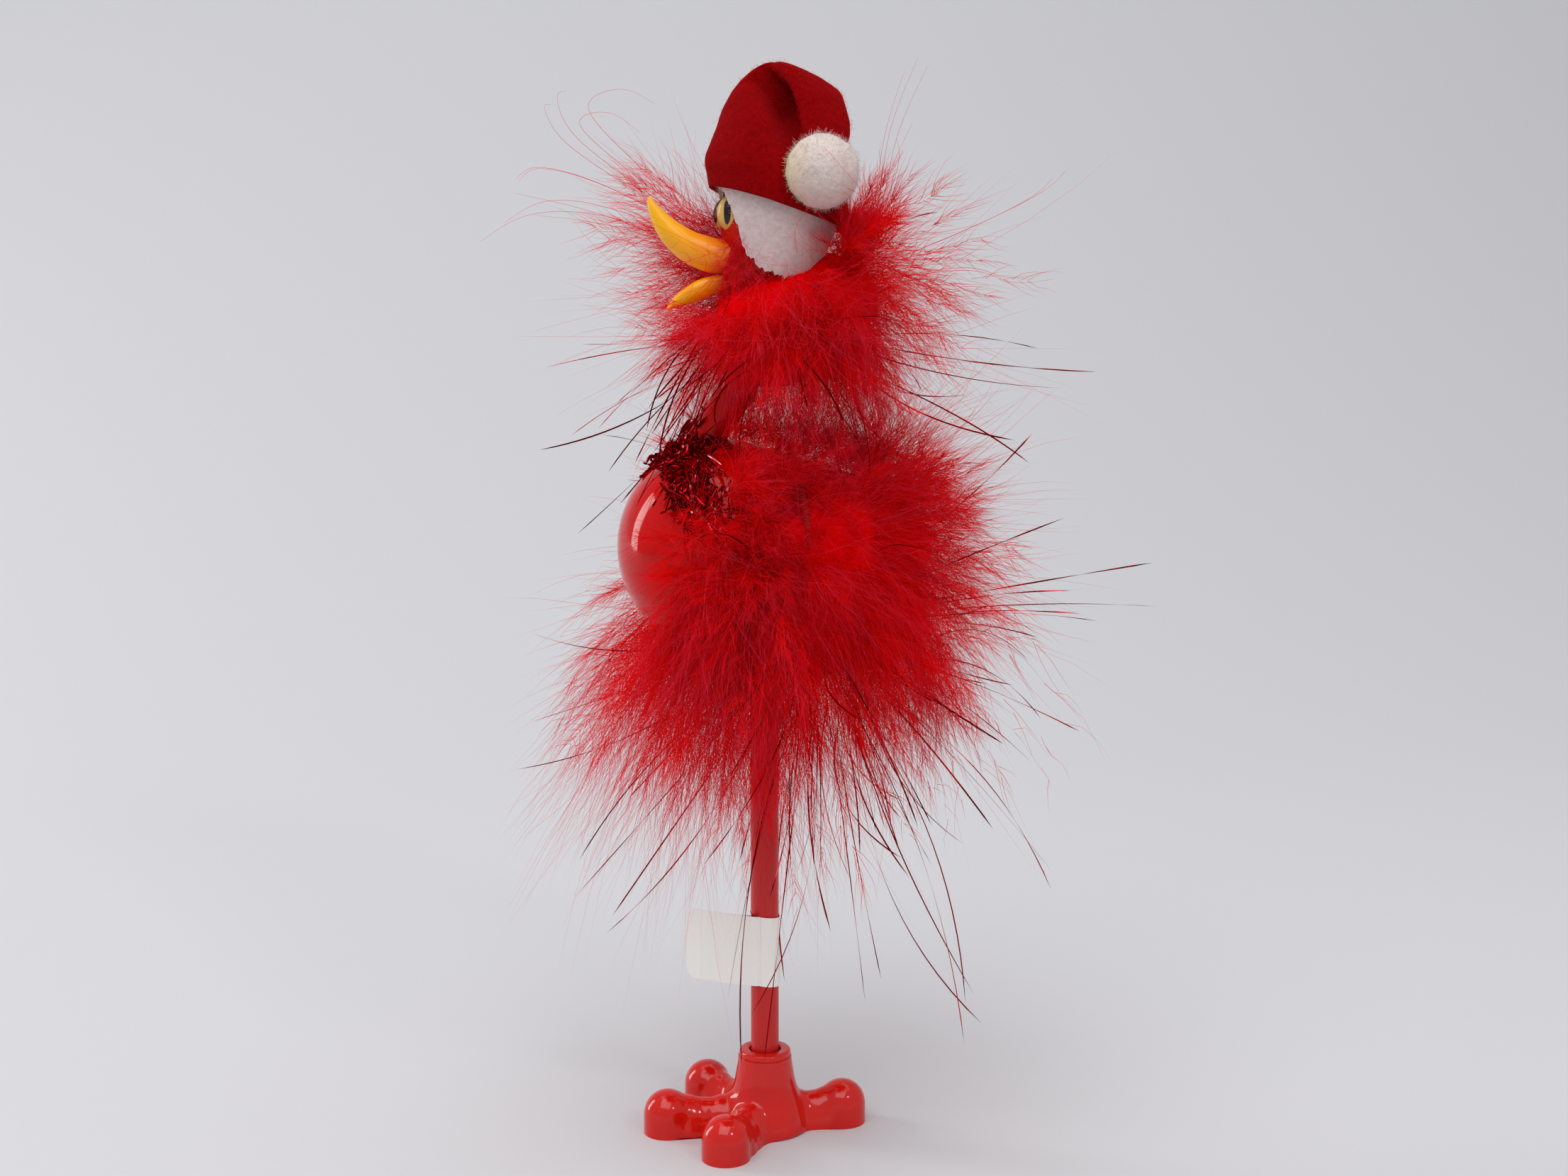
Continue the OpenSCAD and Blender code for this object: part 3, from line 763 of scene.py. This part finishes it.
body_barbs = 52
body_barb_r = 0.052
body_groups = []
for count, turns, depth, low_lengthen, barb, opening in (
        (430, (-1.0, 1.0), (0, 5), 17.0, 12.0, (25, 78)),
        (190, (0.62, 1.0), (2, 11), 17.0, 12.0, (25, 70))):
    turn = math.pi * RNG.uniform(*turns, count) * np.where(RNG.uniform(size=count) < 0.5, -1.0, 1.0)
    roots, normals, low, top, back, front, spread = body_roots(count, depth, turn)
    lean = 0.5 * top + 0.45 * back * (1 - low) - 0.15 * front * low - 0.25 * back * low
    headings = (normals * (0.62 - 0.46 * top - 0.2 * front) + spread * (0.3 + 0.6 * low * (1 - 0.5 * back))
                + tailward[None] * lean
                + down * (0.26 + 0.26 * low - 0.1 * top) + RNG.normal(0, 0.26, (count, 3)))
    drifts = down * (0.08 + 0.24 * low) + RNG.normal(0, 0.12, (count, 3)) - 0.1 * top * normals
    lengths = 9 + low_lengthen * low[:, 0] * (1 - 0.3 * front[:, 0]) + 8 * back[:, 0] * (1 - 0.6 * top[:, 0])
    lengths = lengths * RNG.uniform(0.7, 1.4, count)
    barb_lengths = barb * (1 - 0.45 * top[:, 0])
    kept = RNG.uniform(size=count) > 0.45 * front[:, 0] * low[:, 0]
    body_groups.append(plumes(roots[kept], headings[kept], drifts[kept], lengths[kept], body_barbs,
                              barb_lengths[kept], body_barb_r, opening))
# plumes that close the tail end
count = 80
roots, normals = on_body(RNG.uniform(30, 44.2, count), RNG.uniform(-math.pi, math.pi, count),
                         RNG.uniform(0, 3, count))
headings = normals * 0.6 + tailward[None] * 0.15 + down * 0.15 + RNG.normal(0, 0.35, (count, 3))
body_groups.append(plumes(roots, headings, RNG.normal(0, 0.12, (count, 3)), RNG.uniform(7, 16, count),
                          body_barbs, 10.0, body_barb_r, (25, 78)))
# short plumes that lie over the sides of the chest
count = 330
turn = np.radians(RNG.uniform(32, 150, count)) * np.where(RNG.uniform(size=count) < 0.62, -1.0, 1.0)
axial = RNG.uniform(-12, 8, count) + 5.0 * np.cos(turn)
roots, normals = on_body(axial, turn, RNG.uniform(0.2, 3.0, count))
headings = normals * 0.22 + down * 0.35 + tailward[None] * 0.2 + RNG.normal(0, 0.42, (count, 3))
body_groups.append(plumes(roots, headings, RNG.normal(0, 0.1, (count, 3)), RNG.uniform(5, 11, count),
                          body_barbs, 8.5, body_barb_r, (25, 75)))
body_parts = trimmed(merged(*body_groups))
add_strands("body_boa_plumes", body_parts, down_red, "red_down")
# loose single barbs between the plumes
wisp_r = 0.045
count = 8400
turn = np.where(RNG.uniform(size=count) < 0.55, math.pi + RNG.normal(0, 0.95, count),
                RNG.uniform(-math.pi, math.pi, count))
turn = (turn + math.pi) % (2 * math.pi) - math.pi
roots, normals, low, top, back, front, spread = body_roots(count, (2, 8), turn)
headings = (normals * 0.5 + spread * 0.6 + down * (0.15 + 0.35 * low)
            + tailward[None] * 0.3 * back * (1 - 1.3 * low) + RNG.normal(0, 0.36, (count, 3)))
drifts = down * 0.25 * low + RNG.normal(0, 0.2, (count, 3))
hang = 34 * np.maximum(low[:, 0], 0.5 * back[:, 0])
lengths = RNG.uniform(10, 22, count) + hang * RNG.uniform(0, 1, count) ** 1.3
body_wisps = trimmed(long_fibres(roots, headings, drifts, lengths, wisp_r, 6))
wisps_each = 4500
add_strands("body_boa_wisps", body_wisps, down_red, "red_down", wisps_each)


# ---- Body tinsel ----
# Flat twisted strands of red metallised foil caught in the boa's cord. Most are painted dark, a painted
# reflection of a dark room, and painted glints brighten short stretches where the twist passes a set angle.
# thin metallised film: its colour is a painted reflection, nearly black, with painted pink-red glints where
# the tint is high
foil_red, tree, shader = new_material("red_metallised_foil", Metallic=1.0, Roughness=0.22)
shader.inputs["Specular Tint"].default_value = linear("#D83040")
tint = add_node(tree, "Attribute", attribute_name="tint").outputs["Fac"]
foil_tones_with_painted_reflection = ((0.0, "#5A0408"), (0.5, "#960A14"), (0.78, "#EC2C38"), (1.0, "#FFB0B0"))
add_node(tree, "ValToRGB", {"Fac": tint}, foil_tones_with_painted_reflection, shader.inputs["Base Color"])


def foil_strands(starts, ends, sag, half_width, steps=16):
    """Foil ribbons from starts to ends with a slow bend and a twist."""
    count = len(starts)
    s = np.linspace(0, 1, steps)[None, :]
    run = np.linalg.norm(ends - starts, axis=1)
    bend_way = unit(np.cross(ends - starts, RNG.normal(size=(count, 3))))
    bend = bend_way * (run * RNG.normal(0, 0.09, count))[:, None]
    bow = (s * (1 - s) * 4)[..., None]
    centres = starts[:, None] + (ends - starts)[:, None] * s[..., None] + bend[:, None] * bow
    centres[..., 2] -= sag * run[:, None] * (s * (1 - s) * 4)
    radii = half_width * RNG.uniform(0.7, 1.3, count)[:, None] * np.ones((1, steps))
    roll = RNG.uniform(0, 6.28, count)[:, None] + RNG.normal(0, 5.0, count)[:, None] * s
    # a painted reflection level per strand, plus a painted glint where the twist faces one set way
    painted_reflection_and_glint = RNG.uniform(0, 0.55, count)[:, None] + 0.45 * (np.sin(roll + 1.0) > 0.86)
    return (centres, radii, np.clip(painted_reflection_and_glint, 0, 1)), roll


def add_foil(name, parts, roll):
    centres, radii, tint = parts
    piece = fibre_mesh(name, centres, radii, tint, profile=FLAT, roll=roll, smooth=False)
    piece.data.materials.append(foil_red)
    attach(piece, "bird")
    return piece


def strand_ends(named, extra, centre, reach, low_share):
    """The named strand ends, a second strand near each, and extra ends spread round the centre."""
    named = np.array(named, float)
    twins = named + RNG.normal(0, 5.0, named.shape)
    twins = centre + (twins - centre) * RNG.uniform(0.6, 0.98, len(twins))[:, None]
    ways = unit(RNG.normal(size=(extra, 3)) + np.array([0.15, 0, -low_share]))
    spread = centre + ways * RNG.uniform(*reach, extra)[:, None]
    return np.concatenate([named, twins, spread])


body_centre = np.array([12.0, 0.0, 120.0])
ends = strand_ends([(-57, -10, 90), (-53, 12, 96), (-45, -22, 64), (-36, 14, 44), (-20, -50, 78),
                    (17, -34, 41),
                    (-7, -11, 19), (-2, -12, 20), (-10, -9, 34), (32, 20, 27), (46, -8, 20), (55, 10, 18),
                    (61, -26, 66), (71, 22, 111), (92, -4, 122),
                    (94, 6, 131), (12, -58, 108), (24, 58, 120), (-14, 54, 84), (44, -46, 100), (40, 48, 80)],
                   62, body_centre, (46, 70), 1.15)
starts = body_centre + unit(ends - body_centre) * RNG.uniform(12, 26, len(ends))[:, None]
body_tinsel = add_foil("body_foil_strands", *foil_strands(starts, ends, -0.03, 0.15))
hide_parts("body_tinsel")


# ---- Neck-base tinsel ----
# Short lengths of the same foil wound and tucked round the foot of the neck, where it meets the chest.
neck_low = np.array([-18.5, 0.0, 151.0])
neck_bend = np.array([-6.5, 0.0, 171.0])
count = 520
share = RNG.uniform(-0.25, 0.42, count)
turn = RNG.uniform(0, 2 * math.pi, count)
neck_way = unit(neck_bend - neck_low)
neck_across = np.array([neck_way[2], 0.0, -neck_way[0]])
around = around_axis(neck_across, body_side, turn)
starts = neck_low + (neck_bend - neck_low) * share[:, None] + around * RNG.uniform(4.2, 6.6, count)[:, None]
next_turn = turn + RNG.normal(0, 0.9, count)
next_around = around_axis(neck_across, body_side, next_turn)
ends = (neck_low + (neck_bend - neck_low) * (share + RNG.normal(0, 0.2, count))[:, None]
        + next_around * RNG.uniform(4.6, 8.5, count)[:, None])
# and more of them over the top of the chest, on the bird's left
count = 420
turn = np.radians(RNG.uniform(-70, 40, count))
foil_axial = RNG.uniform(-10.5, 1.0, count) - 3.0 * np.cos(turn)
foil_starts = on_body(foil_axial, turn, RNG.uniform(0.4, 1.8, count))[0]
foil_ends = on_body(foil_axial + RNG.normal(0, 2.2, count), turn + RNG.normal(0, 0.16, count),
                    RNG.uniform(0.6, 3.2, count))[0]
starts = np.concatenate([starts, foil_starts])
ends = np.concatenate([ends, foil_ends])
neck_base = add_foil("neck_base_foil", *foil_strands(starts, ends, 0.0, 0.34, 8))
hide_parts("neck_base_tinsel")


# ---- Neck boa ----
# A second boa wound close under the head. Its plumes hang as a cape round the neck and burst out in
# front, behind the beak, and at the nape.
neck_core = core_mass("neck_boa_matted_core",
                      [((6, 0, 191), (13, 14, 10)), ((15, 0, 193), (11, 11, 10)), ((-3, 0, 189), (8, 10, 7)),
                       ((2, 0, 180), (10, 11, 7)), ((13, 0, 182), (9, 9, 7))], 1.0, 2.6, 8.0)
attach(neck_core, "bird")
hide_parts("neck_boa_feathers")


def ring_roots(count, centre, radius, height, low_turn, high_turn):
    """Roots round the neck between two turns, 0 at the nape, and their outward directions."""
    turn = np.radians(RNG.uniform(low_turn, high_turn, count))
    outward = np.stack([np.cos(turn), np.sin(turn), np.zeros(count)], axis=1)
    reach = RNG.uniform(*radius, count)[:, None]
    roots = np.array([centre]) + outward * reach
    roots[:, 2] += RNG.uniform(*height, count) + 0.12 * (roots[:, 0] - centre[0])
    return roots, outward


def clear_of_face(parts, keep_share=0.04):
    """Drops fibres that would hang over the beak, the eyes or the hat on the bird's left; a few stay."""
    centres = parts[0]
    x, y, z = centres[..., 0], centres[..., 1], centres[..., 2]
    over_beak = (x < -6.5) & (x > -30) & (z > 189.5 + 0.25 * (-8 - x)) & (z < 219) & (y < 5.5)
    over_hat = (z > 199.5) & (x > -8) & (x < 15) & (y < 5) | (z > 209) & (x > -14) & (x < 19) & (y < 14)
    over_neck = (x < -4) & (z < 164 - 0.95 * (x + 6)) & (y < 6)
    draw = RNG.uniform(size=len(centres))
    blocked = (over_beak | over_hat | over_neck).any(axis=1) & (draw > keep_share)
    blocked |= (x > 31).any(axis=1) & (draw > 0.5)
    return [values[~blocked] for values in parts]


neck_barbs = 58
neck_barb_r = 0.05
tuft_barbs = 60
tuft_barb_r = 0.045
neck_groups = []
for count, radius, height, turns, outward_share, rise, length, barb, opening in (
        (235, (6, 13), (-7, 5), (-180, 180), 0.5, (-1.15, -0.3), (15, 31), 11.0, (22, 66)),
        (78, (8, 15), (-4, 8), (-60, 60), 1.0, (-0.7, 0.5), (16, 40), 11.5, (25, 75)),
        (40, (9, 14), (-9, 10), (125, 235), 1.0, (-0.5, 0.5), (9, 25), 12.0, (25, 80)),
        (46, (13, 18), (1, 10), (-68, 45), 0.5, (0.4, 1.1), (8, 17), 9.0, (20, 60))):
    roots, outward = ring_roots(count, (5.0, 0.0, 195.0), radius, height, *turns)
    headings = outward * outward_share + RNG.normal(0, 0.2, (count, 3))
    headings[:, 2] += RNG.uniform(*rise, count)
    drifts = RNG.normal(0, 0.14, (count, 3)) + down * 0.12
    lengths = RNG.uniform(*length, count)
    neck_groups.append(plumes(roots, headings, drifts, lengths, neck_barbs, barb, neck_barb_r, opening))
# the light tufts that sweep forward and up behind the beak
count = 30
roots = np.array([[-7.0, 9.0, 203.0]]) + RNG.uniform(-1, 1, (count, 3)) * np.array([3.0, 3.0, 6.0])
headings = np.array([[-1.0, 0.0, 0.3]]) + RNG.normal(0, 1, (count, 3)) * np.array([0.1, 0.12, 0.26])
drifts = RNG.normal(0, 0.14, (count, 3))
neck_groups.append(plumes(roots, headings, drifts, RNG.uniform(8, 31, count), tuft_barbs, 11.5,
                          tuft_barb_r, (30, 85), loose=0.3))
neck_parts = clear_of_face(merged(*neck_groups))
# the plumes that stand up over the hat's corner at the nape
count = 20
roots = np.array([[18.2, -11.5, 199.5]]) + RNG.normal(0, 1, (count, 3)) * np.array([1.3, 1.6, 2.0])
headings = np.array([[-0.02, -0.2, 1.0]]) + RNG.normal(0, 0.22, (count, 3))
corner_tuft = plumes(roots, headings, RNG.normal(0, 0.1, (count, 3)), RNG.uniform(6, 12, count),
                     tuft_barbs, 6.5, tuft_barb_r)
add_strands("neck_boa_plumes", merged(neck_parts, corner_tuft), down_red, "red_down")
count = 3000
roots, outward = ring_roots(count, (5.0, 0.0, 192.0), (8, 16), (-12, 12), -180, 180)
headings = outward + RNG.normal(0, 0.42, (count, 3))
drifts = RNG.normal(0, 0.22, (count, 3)) + down * 0.05
lengths = RNG.uniform(10, 26, count) + 28 * RNG.uniform(0, 1, count) ** 3
neck_wisps = clear_of_face(long_fibres(roots, headings, drifts, lengths, wisp_r, 7), 0.1)
count = 520
roots = np.array([[-8.0, 9.0, 205.0]]) + RNG.uniform(-1, 1, (count, 3)) * np.array([4.0, 3.0, 6.0])
headings = np.array([[-1.0, -0.1, 0.5]]) + RNG.normal(0, 0.5, (count, 3))
drifts = RNG.normal(0, 0.35, (count, 3))
front_fuzz = long_fibres(roots, headings, drifts, RNG.uniform(7, 25, count), wisp_r, 7)
add_strands("neck_boa_wisps", merged(neck_wisps, front_fuzz), down_red, "red_down", wisps_each)

# the longest loose fibres, each laid along its own sweep
loose = (((22, -4, 200), (25, -4, 213), (28, -3, 228), (36, -2, 246)),
         ((21, -5, 199), (24, -5, 210), (27, -4, 224), (33, -3, 239)),
         ((20, -6, 203), (24, -8, 212), (25, -8, 220), (22, -8, 224)),
         ((-8, 6, 205), (-27, 7, 217), (-42, 6, 228), (-46, 5, 236), (-42, 5, 237)),
         ((-8, 6, 206), (-24, 8, 218), (-38, 7, 231), (-30, 7, 234), (-18, 7, 226)),
         ((-10, 6, 204), (-34, 6, 212), (-50, 5, 213), (-63, 4, 206)),
         ((-10, 7, 205), (-34, 7, 216), (-50, 6, 219), (-57, 5, 214)),
         ((-12, 6, 203), (-36, 5, 208), (-56, 4, 209)),
         ((20, -4, 198), (44, -6, 208), (60, -5, 216), (66, -5, 222)),
         ((20, 3, 196), (46, 2, 199), (58, 1, 196), (70, 0, 197)),
         ((22, -10, 203), (20, -20, 211), (14, -25.4, 216), (5, -24.4, 221)),
         ((21, -10, 204), (19, -22, 213), (12, -25.6, 221), (8, -24, 226)),
         ((20, -9, 201), (13, -20, 207), (6, -23.6, 213), (2, -21, 219)))
laid_steps = 37
laid = np.array([smooth_stations(way, 40 // (len(way) - 1))[:laid_steps] for way in loose for _ in range(2)])
laid = laid + RNG.normal(0, 1.3, (len(laid), 1, 3)) * np.linspace(0, 2.2, laid_steps)[None, :, None]
girth = 0.075 * (1 - 0.7 * np.linspace(0, 1, laid_steps))[None] * np.ones((len(laid), 1))
# a fixed tint of 0.7 gives these fringe strands part of the painted backlit pink
add_strands("neck_boa_loose_barbs", (laid, girth, np.full(girth.shape, 0.7)), down_red, "red_down")


# ---- Neck tinsel ----
# The neck boa's own foil strands, fewer and shorter than the body's.
neck_centre = np.array([4.0, 0.0, 186.0])
ends = strand_ends([(-49, -8, 178), (-50, 10, 159), (-43, -12, 142), (-30, 40, 168), (-24, -44, 160),
                    (66, -10, 173), (80, 8, 176), (52, -34, 158), (46, 42, 170), (8, -54, 168),
                    (4, 54, 164), (30, 2, 152)],
                   16, neck_centre, (36, 50), 1.0)
starts = neck_centre + unit(ends - neck_centre) * RNG.uniform(8, 20, len(ends))[:, None]
# strands that hang in front of the neck, from the beak's side to the chest
count = 20
front_starts = np.array([-8.0, 0.0, 186.0]) + RNG.normal(0, 1, (count, 3)) * np.array([4.0, 6.0, 6.0])
front_ends = np.array([-25.0, -2.0, 156.0]) + RNG.normal(0, 1, (count, 3)) * np.array([6.5, 9.0, 8.0])
starts = np.concatenate([starts, front_starts])
ends = np.concatenate([ends, front_ends])
neck_tinsel = add_foil("neck_foil_strands", *foil_strands(starts, ends, -0.03, 0.15))
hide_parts("neck_tinsel")


# ---- Face down ----
# Short down glued over the head shell round the beak, which fills the gap up to the eyes and the hat.
count = 5200
ways = unit(RNG.normal(size=(count, 3)))
from_head = RNG.uniform(size=count) < 0.55
on_head = np.array([[1.9, 0.0, 207.8]]) + ways * 11.3
on_cheeks = np.array([[-2.6, 0.0, 200.4]]) + ways * 7.6
starts = np.where(from_head[:, None], on_head, on_cheeks)
allowed = ((starts[:, 2] < 206.3 + 0.55 * np.clip(starts[:, 0] + 6.5, -10, 2)) & (starts[:, 0] < 9)
           & ((starts[:, 0] < -3.5 + 0.35 * (203 - starts[:, 2])) | (starts[:, 2] < 196)))
starts, ways = starts[allowed], ways[allowed]
count = len(starts)
headings = ways + np.array([0.25, 0, -0.55]) + RNG.normal(0, 0.3, (count, 3))
drifts = RNG.normal(0, 0.2, (count, 3))
face_down = long_fibres(starts, headings, drifts, RNG.uniform(3.0, 6.5, count), 0.06, 6)
add_strands("face_down", face_down, down_red, "red_down")


# ---- Hat ----
# A cone of 1 mm red felt, sewn up and pulled over the head. Its top is folded over towards the bird's
# left, and the tip hangs down that side to the pompom.
hat_tilt = math.radians(13.7)
hat_at = (3.75, 0.0, 215.4)
brim = 15.4
felt_thick = 1.0
# centre, long half axis, short half and the short axis's turn from level, from the opening to the tip
hat_stations = (((3.6, 0, 212.3), (15.6, 0, -4.9), 16.1, 0), ((3.2, 0, 216.4), (15.7, 0, -3.9), 15.7, 0),
                ((2.6, 0, 221), (15.4, 0, -2.6), 14.6, 0),
                ((3.5, 0, 228), (13.9, 0, -2.0), 11.5, 0), ((4.8, 0.5, 234), (12.3, 0, -3.0), 8.2, 4),
                ((6.3, 0.5, 238.9), (8.5, 0, -3.6), 3.8, 25), ((9.2, -2.3, 239.9), (7.4, 0, -3.2), 2.4, 88),
                ((10.9, -6.2, 236.8), (6.1, 0, -2.2), 2.0, 140), ((11.9, -9.8, 231), (5.6, 0, -1), 2.0, 150),
                ((11.5, -12.8, 225.8), (4.8, 0, 0), 1.8, 155), ((10.6, -14.6, 222.0), (2.6, 0, 0), 1.3, 160))
flat_stations = []
for centre, long_half, short, turn in hat_stations:
    short_y = short * math.cos(math.radians(turn))
    short_z = short * math.sin(math.radians(turn))
    flat_stations.append((*centre, *long_half, 0.0, short_y, short_z))
rings_each = 6
hat_rings = []
for station in smooth_stations(flat_stations, rings_each):
    centre, long_half, short_half = station[:3], station[3:6], station[6:]
    hat_rings.append([tuple(centre + long_half * math.cos(k) + short_half * math.sin(k))
                      for k in np.linspace(0, 2 * math.pi, 64, endpoint=False)])
# the crease is pressed into the rings up to the fold
fold_start = rings_each * 6
for ring in hat_rings[:fold_start]:
    for k, (x, y, z) in enumerate(ring):
        if y < 0:
            crease_x = float(np.interp(z, (222, 230, 237, 243), (6.0, 5.0, 4.2, 2.0)))
            width = float(np.interp(z, (222, 238), (2.6, 4.6)))
            depth = 8.0 * math.exp(-((x - crease_x) / width) ** 2) * min(max((z - 220) / 12, 0), 1)
            ring[k] = (x, y + min(depth, 0.9 * abs(y)), z)
hat = loft("felt_hat", hat_rings, closed_start=False)
uneven(hat, 9, 0.9)


def surface_of(piece):
    """A piece's points in mm with their normals."""
    return [(vertex.co / MM, vertex.normal.copy()) for vertex in piece.data.vertices]


hat_skin = surface_of(hat)
apply_modifier(hat, "SOLIDIFY", thickness=felt_thick * MM, offset=-1)


def felt_material(name, dark, light, fuzz):
    """Pressed wool felt: dead matt, with a nap that is lighter at grazing angles and a fine grain."""
    material, tree, shader = new_material(name, Roughness=1.0, Sheen_Weight=0.35, Sheen_Roughness=0.5,
                                          Sheen_Tint=linear(fuzz))
    shader.inputs["Specular IOR Level"].default_value = 0.05
    add_grain(tree, shader, 900.0, 6.0, ((0.3, dark), (0.62, light)), 0.4, 0.6, roughness=0.7)
    return material


red_felt = felt_material("red_wool_felt", "#700003", "#880104", "#8E1018")
finish_mesh(hat, red_felt)
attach(hat, "bird")
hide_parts("hat_cone")


def nap(name, skin, count, length, thick, material, slot_name, tint=0.5):
    """Short loose fibres that stand out of a felt or pile surface. skin is points in mm and their normals."""
    chosen = RNG.integers(0, len(skin), count)
    points = np.array([skin[i][0] for i in chosen]) + RNG.normal(0, 0.35, (count, 3))
    normals = np.array([skin[i][1] for i in chosen])
    headings = normals + RNG.normal(0, 0.7, (count, 3))
    parts = long_fibres(points - 0.3 * normals, headings, RNG.normal(0, 0.3, (count, 3)),
                        RNG.uniform(*length, count), thick, 4)
    parts[2][:] = np.clip(tint + RNG.uniform(-0.3, 0.3, count), 0, 1)[:, None]
    return add_strands(name, parts, material, slot_name, 12000)


hat_nap = nap("felt_hat_nap", hat_skin, 4200, (0.5, 1.1), 0.03, down_red, "red_felt", 0.35)


# ---- Hat band ----
# A strip of white felt glued inside the hat's edge. It is narrow over the eyes and deep at the cheeks and
# nape, where it hangs in towards the neck, and its lower edge is hand cut.
band_depths = ((0, 1.8), (15, 2.4), (30, 4.6), (45, 10.0), (60, 15.3), (75, 17.2), (95, 18.2), (120, 17.6),
               (150, 14.0), (180, 12.5))


def band_point(u, v):
    turn = 2 * math.pi * u
    from_front = abs(180 - math.degrees(turn))
    depth = float(np.interp(from_front, *zip(*band_depths)))
    depth += 0.5 * math.sin(9 * turn) * math.sin(23 * turn + 1) + 0.25 * math.sin(61 * turn)
    depth = max(depth, 1.4) * v
    radius = brim - felt_thick - 0.17 * depth + 0.3 * math.sin(5 * turn + 0.6) * v
    x, y, z = radius * math.cos(turn), -radius * math.sin(turn), 0.5 - depth
    return (hat_at[0] + x * math.cos(hat_tilt) + z * math.sin(hat_tilt), y,
            hat_at[2] - x * math.sin(hat_tilt) + z * math.cos(hat_tilt))


band = curved_panel("felt_hat_band", 180, 14, band_point)
bpy.ops.object.mode_set(mode="EDIT")
bpy.ops.mesh.select_all(action="SELECT")
bpy.ops.mesh.remove_doubles(threshold=0.00005)
bpy.ops.mesh.normals_make_consistent(inside=False)
bpy.ops.object.mode_set(mode="OBJECT")
band_skin = surface_of(band)
apply_modifier(band, "SOLIDIFY", thickness=0.9 * MM, offset=-1)
white_felt = felt_material("white_wool_felt", "#BFAFAF", "#D6C6C4", "#E8DCDC")
finish_mesh(band, white_felt, 60)
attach(band, "bird")
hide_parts("hat_band")
# the band's loose fibres: the same off-white, which softens its cut edge
off_white = linear("#D8C8C6")
white_fibre = new_material("loose_white_wool_fibre", Base_Color=off_white, Roughness=0.9)[0]
band_nap = nap("felt_band_nap", band_skin, 3000, (0.4, 1.0), 0.03, white_fibre, "white_felt")


# ---- Pompom ----
# A ball of short cream wool pile, glued to the hat's tip. It is a little flattened and yellowed on the side
# towards the face.
bpy.ops.object.select_all(action="DESELECT")
bpy.ops.mesh.primitive_ico_sphere_add(subdivisions=6, radius=1, location=(10.2 * MM, -16.6 * MM, 219.6 * MM))
pompom = bpy.context.object
pompom.name = "wool_pompom"
pompom.scale = (7.8 * MM, 7.5 * MM, 7.9 * MM)
bpy.ops.object.transform_apply(location=True, rotation=True, scale=True)
uneven(pompom, 2.2, 0.5)
pompom_skin = surface_of(pompom)
# wool pile: soft cream, yellowed towards the face, with no highlight
wool, tree, shader = new_material("cream_wool_pile", Roughness=1.0, Sheen_Weight=0.3)
shader.inputs["Specular IOR Level"].default_value = 0.05
place = add_node(tree, "TexCoord").outputs["Object"]
across = add_node(tree, "SeparateXYZ", {"Vector": place}).outputs["X"]
aged = add_node(tree, "MapRange", {"Value": across, "From Min": 0.0012, "From Max": 0.0075}).outputs["Result"]
wool_tones = ((0.0, "#CFC38C"), (0.45, "#D2C0B0"), (1.0, "#D8C8C2"))
add_node(tree, "ValToRGB", {"Fac": aged}, wool_tones, shader.inputs["Base Color"])
add_grain(tree, shader, 1400.0, 4.0, depth=0.5, strength=0.7)
finish_mesh(pompom, wool)
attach(pompom, "bird")
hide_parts("hat_pompom")
nap("pompom_pile", pompom_skin, 4600, (0.6, 1.2), 0.035, wool, "pompom_pile")

bpy.context.view_layer.update()
size = {"cad": cad_box, "visual": [list(corner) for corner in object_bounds()]}
